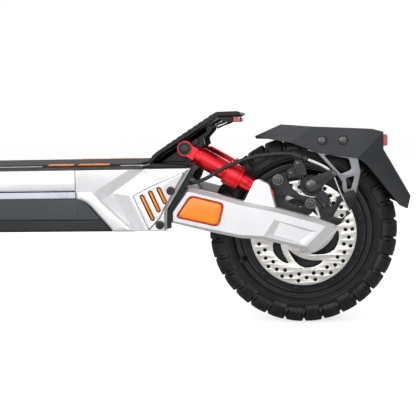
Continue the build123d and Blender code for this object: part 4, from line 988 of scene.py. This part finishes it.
def make_fender():
    form = Form()
    left, right = (
        {key: form.vertex(x, hand * y, z) for key, (x, y, z) in FENDER_POINTS.items()} for hand in HANDS
    )
    for points in (left, right):
        for loop in FENDER_FACES:
            form.face([points[key] for key in loop])
    for one, two in zip(FENDER_SPINE, FENDER_SPINE[1:]):
        form.face((left[one], left[two], right[two], right[one]))
    shell = finish("fender_shell", form, "plastic", "swingarm", "rear_fender")
    thick = shell.modifiers.new("thickness", "SOLIDIFY")
    thick.thickness = FENDER_THICKNESS * MM
    thick.offset = -1
    thick.use_even_offset = True
    soften(shell, 0.7, 2, 9)
    screws, washers, pins = Form(), Form(), Form()
    for hand in HANDS:
        for x, z in FENDER_SCREWS:
            washers.lathe([(0, 0), (0, 6.4), (0.7, 6.4), (1.0, 6.0), (1.0, 0)], (x, hand * 57.6, z), (0, hand, 0), 32)
        screws.screws(FENDER_SCREWS, hand * 58.4, hand, 5.0, 2.4, 0.9)
        pins.rod((REAR_SHOCK_FOOT[0], hand * 59.0, REAR_SHOCK_FOOT[1]), hand, 4.4, 9.2)
    finish("fender_washers", washers, "black", "swingarm", slot="screw_steel", angle=40)
    finish("fender_screws", screws, "screw_dark", "swingarm", "swingarm_bolts", angle=30)
    finish("shock_foot_pins", pins, "screw", "swingarm", angle=40)


make_fender()

BRACKET = (
    (6, 236), (12, 244), (66, 242), (71.5, 228), (75.5, 207), (70, 180), (66, 173), (56, 176), (52, 184), (51.5, 194),
    (45, 204), (19, 233),
)
BRACKET_WINDOWS = (
    ((28, 229.5), (34, 230.5), (60.5, 224.5), (64, 212), (62, 209.5), (50, 204.5)),
    ((56, 198.5), (66, 202), (67.6, 200.5), (63, 184.5), (58, 184.5), (57.6, 192)),
)
for hand, label in SIDES:
    windows = [rounded(window, 2.2) for window in BRACKET_WINDOWS]
    bracket = sheet(rounded(BRACKET, 2.5), windows, hand * 52.2, hand * 55.2, rear, 0.6)
    finish(f"fender_bracket_{label}", bracket, "grey", "swingarm", once(hand, "fender_brackets"), angle=40)

# ---- Brake calipers ----
PLATE = (
    (-26, 79.6), (-33, 79.8), (-39.4, 75), (-41, 67), (-37.5, 51), (-34.5, 36), (-30, 30), (6, 22.5), (15.5, 31),
    (16.5, 40), (10, 47.4), (-3.4, 51), (-12.5, 58), (-17.6, 67),
)
HOOK = (
    (24.5, 16), (18.5, 36), (29, 44), (37, 33), (47, 49), (54, 53), (66, 57), (70, 48), (64, 34), (58, 26), (50, 13),
    (44, 10),
)
HOOK_WINDOW = ((38.6, 21.5), (50.5, 42), (54.5, 41.4), (60, 32.6), (60.6, 26), (50.5, 19.4))
PISTON_AT = (11, 64.5)
PISTON = (
    (0, 0), (0, 15), (9, 15), (9.8, 14.4), (9.8, 13), (11, 13), (11.5, 13.6), (15, 13.4), (16, 12.4), (16, 9.4),
    (17, 9.2), (17, 0),
)
# Solids of the caliper's body: outline, radius of the corners, levels of y, edge
CALIPER_SOLIDS = (
    (((0, 73.5), (28, 70.5), (31, 82), (3, 87)), 2, (-50, -69, -70), 0.8),
    ((
        (-20, 73), (-21, 84), (-13, 89.5), (-8, 84), (-4, 90), (3, 87), (31, 82), (28, 72), (2, 72), (-4, 74),
        (-11, 74),
    ), 1.6, (-59, -69, -70), 0.7),
    (((20, 60), (30, 54), (36, 44), (27, 33), (19, 42), (15, 52)), 2, (-65, -72, -73), 0.9),
    (((-8, 76), (-13, 90), (-9, 101), (-3, 101), (3, 90), (6, 77)), 2.5, (-69, -73.4, -74), 0.6),
)
PAD_CARRIER = ((14, 46), (27, 47), (30, 40), (22, 33), (17, 36))
PLATE_BOLTS = ((-32.3, 71.6), (9.8, 40.4))
CALIPER_SCREWS = ((-6, 93), (22, 77), (-15, 80))
BARREL_AT, BARREL_ALONG = (-14.5, 105.2), (0.94, 0, -0.34)
BARREL_END = ((13.4, 4.2), (14, 3.2), (17, 3.2), (17.2, 4.0), (20.6, 4.0), (21, 2.6), (22.5, 2.4))
BOOT = ((5.6, 97.9), (9, 96.5), (14, 94.6), (19, 92.4), (24, 90), (29, 87.2), (33.5, 84))
LEVER = ((10, 75), (4, 70), (3, 60), (10, 55), (20, 58), (30, 67), (43, 76), (42, 83), (36, 84))
LEVER_RIB = ((14, 72), (36, 82), (39, 79), (20, 66)), ((15, 71.5), (36, 81), (38, 79), (20, 67))
LEVER_END = (40, -81.0, 79.5)
WIRE = ((34, 84), (37.5, 80), (41, 72), (44.5, 63), (48, 54), (52, 45), (56, 36), (59.5, 29))
OUTWARD = (0, -1, 0)
CABLE_Y = -74.5


def make_caliper(end, place, body, arm_body):
    def piece(part, shape, look, ridden=body, **extra):
        finish(f"caliper_{end}_{part}", shape, look, ridden, **extra)

    plate = sheet(rounded(PLATE, 2.4), [stadium((-19.6, 46.6), (-2.4, 38.6), 3.6)], -61, -65, place, 0.6)
    piece("plate", plate, "charcoal", replaces="caliper_plate_rear" if end == "rear" else None, angle=40)
    hook = sheet(rounded(HOOK, 2), [rounded(HOOK_WINDOW, 1.2)], -60.5, -64, place, 0.5)
    piece("hook", hook, "charcoal", angle=40)
    x, z = PISTON_AT
    block = Form(place).lathe(PISTON, (x, -59, z), OUTWARD, 44)
    for r in (13.9, 11.4):
        block.ring(((-74.6, r), (-76.0, r - 0.5), (-76.0, r - 1.1), (-74.6, r - 1.6)), PISTON_AT, 48)
    for outline, radius, levels, edge in CALIPER_SOLIDS:
        block.button(rounded(outline, radius), levels, edge)
    block.prism(rounded(((-4, 54), (22, 51), (31, 82), (3, 87)), 2), -50, -55)
    piece("block", block, "black_gloss", replaces=f"caliper_{end}", bevel=0.5, angle=35)
    # Fins between the pads' carrier and the piston, and the coil round it
    spring = Form(place)
    for k in range(6):
        fin_x, fin_z = 16.5 + 3.1 * k, 56.5 - 1.2 * k
        wide, narrow = (stadium((fin_x, fin_z - 4), (fin_x + 5.2, fin_z - 13.5), half, 4) for half in (0.9, 0.5))
        spring.loft((wide, -72.6), (wide, -75.6), (narrow, -76.0))
    for k in range(5):
        a = math.radians(150 + 16 * k)
        post_x = x + 17 * math.cos(a)
        spring.tube([(post_x, -70 - 0.6 * k, z + 17 * math.sin(a)), (post_x, -75, z + 16 * math.sin(a))], 1.1, 8)
    turns = [(x + 12.4 * math.cos(0.35 * k), -74.2 - 0.05 * k, z + 12.4 * math.sin(0.35 * k)) for k in range(14)]
    piece("spring", spring.tube(turns, 0.85, 8), "black_gloss", angle=40)
    carrier = Form(place).button(PAD_CARRIER, (-60, -70.4, -71.4), 1)
    piece("pad_block", carrier, "plastic", slot="black_alu", bevel=0.4)
    bolts = Form(place)
    for bolt_x, bolt_z in PLATE_BOLTS:
        bolts.lathe([(0, 0), (0, 7.4), (0.8, 7.6), (1.4, 7.2), (1.4, 0)], (bolt_x, -69.8, bolt_z), OUTWARD, 32)
    bolts.screws(PLATE_BOLTS, -71, LEFT, 5.0, 4.6, 0.6).screws(CALIPER_SCREWS, -73.6, LEFT, 2.6, 2.2, 0.8)
    piece("bolts", bolts, "screw_dark", slot="black_alu", angle=35)
    # Barrel adjuster and the sleeve of the cable
    profile = [(0, 3.4), (1, 4.6)]
    for k in range(5):
        at = 2.3 * k
        profile += [(1.4 + at, 4.9), (2.7 + at, 4.9), (3.0 + at, 4.3), (3.4 + at, 4.3)]
    barrel = Form(place).lathe(profile + list(BARREL_END), (BARREL_AT[0], CABLE_Y, BARREL_AT[1]), BARREL_ALONG, 28)
    piece("barrel", barrel, "black_gloss", angle=30)
    boot = Form(place).tube([(px, CABLE_Y + 0.2 * i, pz) for i, (px, pz) in enumerate(BOOT)], 1.9, 14)
    piece("boot", boot, "boot_silver", angle=50)
    # The arm that the inner wire pulls
    arm = Form(place).button(rounded(LEVER, 3), (-76.3, -80.4, -81.3), 0.9)
    arm.loft(*((rounded(rib, 1.5), y) for rib, y in zip(LEVER_RIB, (-81, -82.2))))
    piece("arm", arm, "black_gloss", arm_body, replaces=f"caliper_arm_{end}", bevel=0.5, angle=35)
    arm_bolts = Form(place).lathe([(0, 0), (0, 6.8), (0.9, 7), (1.3, 6.4), (1.3, 0)], (x, -81.2, z), OUTWARD, 32)
    arm_bolts.socket_screw(x, z, -82.3, LEFT, 4.6, 2.4, 0.6)
    arm_bolts.lathe([(0, 0), (0, 3.6), (2.4, 3.4), (3, 2.6), (3, 0)], LEVER_END, OUTWARD, 20)
    piece("arm_bolts", arm_bolts, "screw_dark", arm_body, angle=35)
    wire = Form(place).tube([(px, -79.5 + 0.25 * i, pz) for i, (px, pz) in enumerate(WIRE)], 0.95, 10)
    piece("wire", wire, "wire", arm_body, angle=50)


CABLE = (
    (-177, 200.5), (-160, 196.6), (-144, 197), (-127, 202), (-105.4, 214.2), (-83.6, 223.6), (-62, 229.8),
    (-40.5, 232.6), (-26, 233.2), (-13.8, 232.6),
)
cable = Form().tube(smooth([(x, CABLE_Y, z) for x, z in CABLE], 6), 2.6, 20)
finish("brake_cable", cable, "black_gloss", "swingarm", "brake_cable_rear", "black_plastic", angle=60)
make_caliper("rear", rear_wheel, "swingarm", "rear_caliper_arm")
make_caliper("front", front_brake, "front_arms", "front_caliper_arm")

# ---- Front half: arms, fork, mudguard, headlight, neck, stem and bar ----
STEER_TILT = math.radians(12)
STEER_FOOT = -25
BAR_AT = 1175
FOLD_AT = 415


def column(x, y, z):
    """A point behind, beside and along the leaning steering axis, from where it meets the ground."""
    cos_t, sin_t = math.cos(STEER_TILT), math.sin(STEER_TILT)
    return front(STEER_FOOT + z * sin_t + x * cos_t, y, z * cos_t - x * sin_t)


FRONT_ARM = (
    (121, 166), (113, 180), (95, 181), (40, 162), (8, 165), (-22, 165), (-27, 150), (-30, 128), (-22, 108), (0, 101),
    (32, 112), (100, 149), (117, 153),
)
FRONT_FIN = ((22, 158), (8, 184), (0, 190), (-14, 190.5), (-22, 183), (-26, 158))
FRONT_RECESS = ((88, 170), (40, 154), (14, 156), (12, 122), (34, 124), (90, 156))
ARM_PIVOT = (105, 165)
FORK_BOLTS = ((52, 296), (62, 283))
HEADLIGHT = ((-0.2, 290), (-0.2, 303), (-8, 322), (-40, 320), (-46, 312), (-44, 294), (-34, 288))
NECK_PANEL = ((66, 332), (66, 362), (76, 360), (114, 337), (203, 231), (188, 228), (176, 246), (127, 322), (74, 330))
NECK_SCREWS = ((84, 346), (142, 297), (184, 243))
# Section of the front mudguard's lips as (y, radius), swept round the wheel in degrees
FENDER_LIP = ((39, 155), (41.6, 154.9), (43.4, 153), (43.4, 143.5), (41.8, 143), (41.4, 151.6), (39, 152.4))
LIP_START, LIP_TURN, LIP_STEPS = 49, 105, 52


def make_front_arm(hand, label):
    name = f"front_arm_{label}"
    arm = Form(front).button(FRONT_ARM, (ARM_IN, ARM_SHOULDER, ARM_OUT), 5, hand)
    recess = Form(front).loft(
        (inset(FRONT_RECESS, 2.5), hand * 83), (FRONT_RECESS, hand * 86.1), (FRONT_RECESS, hand * 90),
    )
    bore = Form(front).prism(circle(ARM_PIVOT, 6.2), hand * 60, hand * 92)
    mesh = carve(arm.to_mesh(name), recess, bore)
    finish(name, mesh, "silver", "front_arms", once(hand, "front_arms"), bevel=1.0, segments=3, angle=14)
    fin = Form(front).button(FRONT_FIN, FIN_LEVELS, FIN_EDGE, hand)
    finish(f"{name}_fin", fin, "silver", "front_arms", bevel=0.9, segments=3, angle=20)
    pin = Form(front).rod((FRONT_SHOCK_FOOT[0], hand * 59, FRONT_SHOCK_FOOT[1]), hand, 4.4, 10)
    finish(f"{name}_pin", pin, "screw", "front_arms", angle=40)
    bolts = Form(front).socket_screw(*ARM_PIVOT, hand * 86.4, hand, 10.4, 5.2, 0.6)
    bolts.screws(FORK_BOLTS, hand * 61.8, hand, 5.0, 3.6, 0.5)
    finish(f"fork_{label}_bolts", bolts, "screw_dark", "steering", angle=35)


def make_front_trim():
    edge = inset(HEADLIGHT, 2.5)
    housing = Form(front).loft((edge, -31), (HEADLIGHT, -28), (HEADLIGHT, 28), (edge, 31))
    finish("headlight_housing", housing, "charcoal", "steering", "headlight", "lamp", bevel=0.8)
    rims, lenses = Form(front), Form(front)
    rim = [(0, 0), (0, 11.8), (3.6, 11.8), (4.4, 11.0), (4.4, 9.8), (3.2, 9.4), (3.2, 0)]
    for y in (-13.5, 13.5):
        rims.lathe(rim, (-42.6, y, 303), (-1, 0, 0.1), 36)
        lenses.lathe([(0, 0), (0, 9.2), (1.4, 7.6), (2.2, 4.6), (2.4, 0)], (-45.6, y, 303.3), (-1, 0, 0.1), 36)
    finish("headlight_rims", rims, "black_gloss", "steering", slot="lamp", angle=35)
    finish("headlight_lenses", lenses, "lamp", "steering", angle=50)
    lips = Form(front_wheel)
    for hand in HANDS:
        sections = []
        for i in range(LIP_STEPS + 1):
            a = LIP_START + LIP_TURN * i / LIP_STEPS
            sections.append([lips.vertex(polar(r, a)[0], hand * y, polar(r, a)[1]) for y, r in FENDER_LIP])
        lips.skin(sections)
    finish("front_fender_lips", lips, "plastic", "steering", angle=35)
    pin_head = [(0, 0), (0, 9.4), (3.4, 9.4), (4.2, 8.6), (4.2, 5), (2.4, 4.6), (2.4, 0)]
    for hand, label in SIDES:
        panel = Form(front).button(NECK_PANEL, (33, 35, 36.2), 1.2, hand)
        finish(f"neck_panel_{label}", panel, "charcoal", "chassis", bevel=0.5)
        screws = Form(front).screws(NECK_SCREWS, hand * 36, hand, 4.4, 2.8, 0.5)
        finish(f"neck_screws_{label}", screws, "screw_dark", "chassis", angle=35)
        fold = Form(column).lathe(pin_head, (24, hand * 32.6, FOLD_AT), (0, hand, 0), 36)
        finish(f"fold_pin_{label}", fold, "screw_dark", "steering", angle=35)


def make_cockpit():
    collars = Form(column)
    for start, length, radius in ((FOLD_AT + 33, 16, 28.5), (BAR_AT - 46, 12, 27)):
        inner = radius - 1.4
        profile = [(0, 0), (0, inner), (1.4, radius), (length - 1.4, radius), (length, inner), (length, 0)]
        collars.lathe(profile, (0, 0, start), (0, 0, 1), 56)
    finish("stem_collars", collars, "charcoal", "stem", angle=35)
    screws = Form(column)
    head = [(0, 0), (0, 4.2), (4.2, 4.2), (4.8, 3.6), (4.8, 2.2), (3, 2), (3, 0)]
    for y in (-20, 20):
        for rise in (-9, 9):
            screws.lathe(head, (-15.4, y, BAR_AT + rise), (-1, 0, 0), 24)
    finish("bar_clamp_screws", screws, "screw", "stem", angle=35)
    outline = ((-19, BAR_AT + 34.6), (24, BAR_AT + 29.3), (24.4, BAR_AT + 31.2), (-18.6, BAR_AT + 36.6))
    edge = inset(outline, 0.4)
    glass = Form(column).loft((edge, -32), (outline, -31.4), (outline, 31.4), (edge, 32))
    finish("display_glass", glass, "black_gloss", "stem", slot="black_plastic", bevel=0.3)
    profile = [(0, 0), (0, 17.8), (0.8, 18.5), (3.2, 18.5), (4, 17.6), (4.4, 15.4)]
    for k in range(17):
        at = 6 + 6.2 * k
        profile += [(at, 15.2), (at + 0.8, 16.3), (at + 3.8, 16.3), (at + 4.6, 15.2)]
    profile += [(112, 15.6), (112.6, 16.4), (114.6, 16.4), (116, 14.6), (116, 0)]
    bar = middle("handlebar") / MM
    grips = Form(lambda x, y, z: Vector((x, y, z)) * MM)
    for hand in HANDS:
        grips.lathe(profile, (bar.x, hand * 184, bar.z), (0, hand, 0), 40)
    finish("grip_sleeves", grips, "rubber", "stem", "grips", "grip_rubber", angle=40)


for hand, label in SIDES:
    make_front_arm(hand, label)
make_front_trim()
make_cockpit()

# ---- Floor, light and camera ----
WORLD_LIGHT = 0.42
FLOOR_GLOW = 0.72
# Area lights: position and target from the rear axle in metres, size, power in watts
LIGHTS = {
    "key": ((-0.5, -2.3, 0.85), (-0.2, 0, 0.25), (3.4, 1.5), 34),
    "strip": ((-0.5, -0.5, 1.6), (-0.1, 0, 0.2), (2.4, 0.25), 7),
    "left": ((-2.2, -1.6, 1.1), (-0.3, 0, 0.2), (0.8, 1.2), 9),
    "back": ((-0.4, 2.2, 1.0), (-0.2, 0, 0.25), (3.0, 1.4), 17),
    "front": ((-2.27924, -1.0, 1.5), (-0.87924, 0, 0.6), (1.2, 1.2), 10),
}
CAMERA_AT = (-22, -1191.8, 270.9)
CAMERA_YAW, CAMERA_PITCH, CAMERA_ROLL = (math.radians(a) for a in (5.23, 5.47, -1.106))
SENSOR_WIDTH, FOCAL_LENGTH = 36, 74.27


def make_stage():
    """A floor and a world that look paler to the camera than they are as lights."""
    bpy.ops.mesh.primitive_plane_add(size=30, location=(0, 0, 0))
    floor = bpy.context.object
    floor.name = "floor"
    pale = Shader("floor_white", (0.60, 0.60, 0.60), 0.9, 0.0, {"Emission Color": (1, 1, 1, 1)}).mottle(2, 0.005)
    seen = pale.node("ShaderNodeLightPath").outputs["Is Camera Ray"]
    pale.feed(pale.span(seen, 0.0, 1.0, 0.0, FLOOR_GLOW), "Emission Strength")
    floor.data.materials.append(pale.material)
    bpy.context.scene.view_settings.view_transform = "Standard"
    world = bpy.data.worlds.new("studio")
    bpy.context.scene.world = world
    world.use_nodes = True
    nodes, links = world.node_tree.nodes, world.node_tree.links
    background = nodes["Background"]
    background.inputs["Color"].default_value = (1, 1, 1, 1)
    span = nodes.new("ShaderNodeMapRange")
    span.inputs["To Min"].default_value = WORLD_LIGHT
    links.new(nodes.new("ShaderNodeLightPath").outputs["Is Camera Ray"], span.inputs["Value"])
    links.new(span.outputs["Result"], background.inputs["Strength"])


def make_light(name, place, target, size, power):
    data = bpy.data.lights.new(name, "AREA")
    data.shape = "RECTANGLE"
    data.size, data.size_y = size
    data.energy = power
    lamp = show(name, data)
    lamp.location = rear(0, 0, 0) + Vector(place)
    lamp.rotation_mode = "QUATERNION"
    lamp.rotation_quaternion = (Vector(target) - Vector(place)).to_track_quat("-Z", "Y")


def make_camera():
    data = bpy.data.cameras.new("camera")
    data.sensor_width = SENSOR_WIDTH
    data.lens = FOCAL_LENGTH
    camera = bpy.context.scene.camera = show("camera", data)
    flat = math.cos(CAMERA_PITCH)
    ahead = Vector((-math.sin(CAMERA_YAW) * flat, math.cos(CAMERA_YAW) * flat, -math.sin(CAMERA_PITCH)))
    right = ahead.cross(Vector((0, 0, 1))).normalized()
    up = right.cross(ahead)
    tilted_right = right * math.cos(CAMERA_ROLL) + up * math.sin(CAMERA_ROLL)
    tilted_up = up * math.cos(CAMERA_ROLL) - right * math.sin(CAMERA_ROLL)
    turn = Matrix((tilted_right, tilted_up, -ahead)).transposed()
    camera.matrix_world = Matrix.Translation(rear(*CAMERA_AT)) @ turn.to_4x4()


make_stage()
for name, values in LIGHTS.items():
    make_light(name, *values)
make_camera()
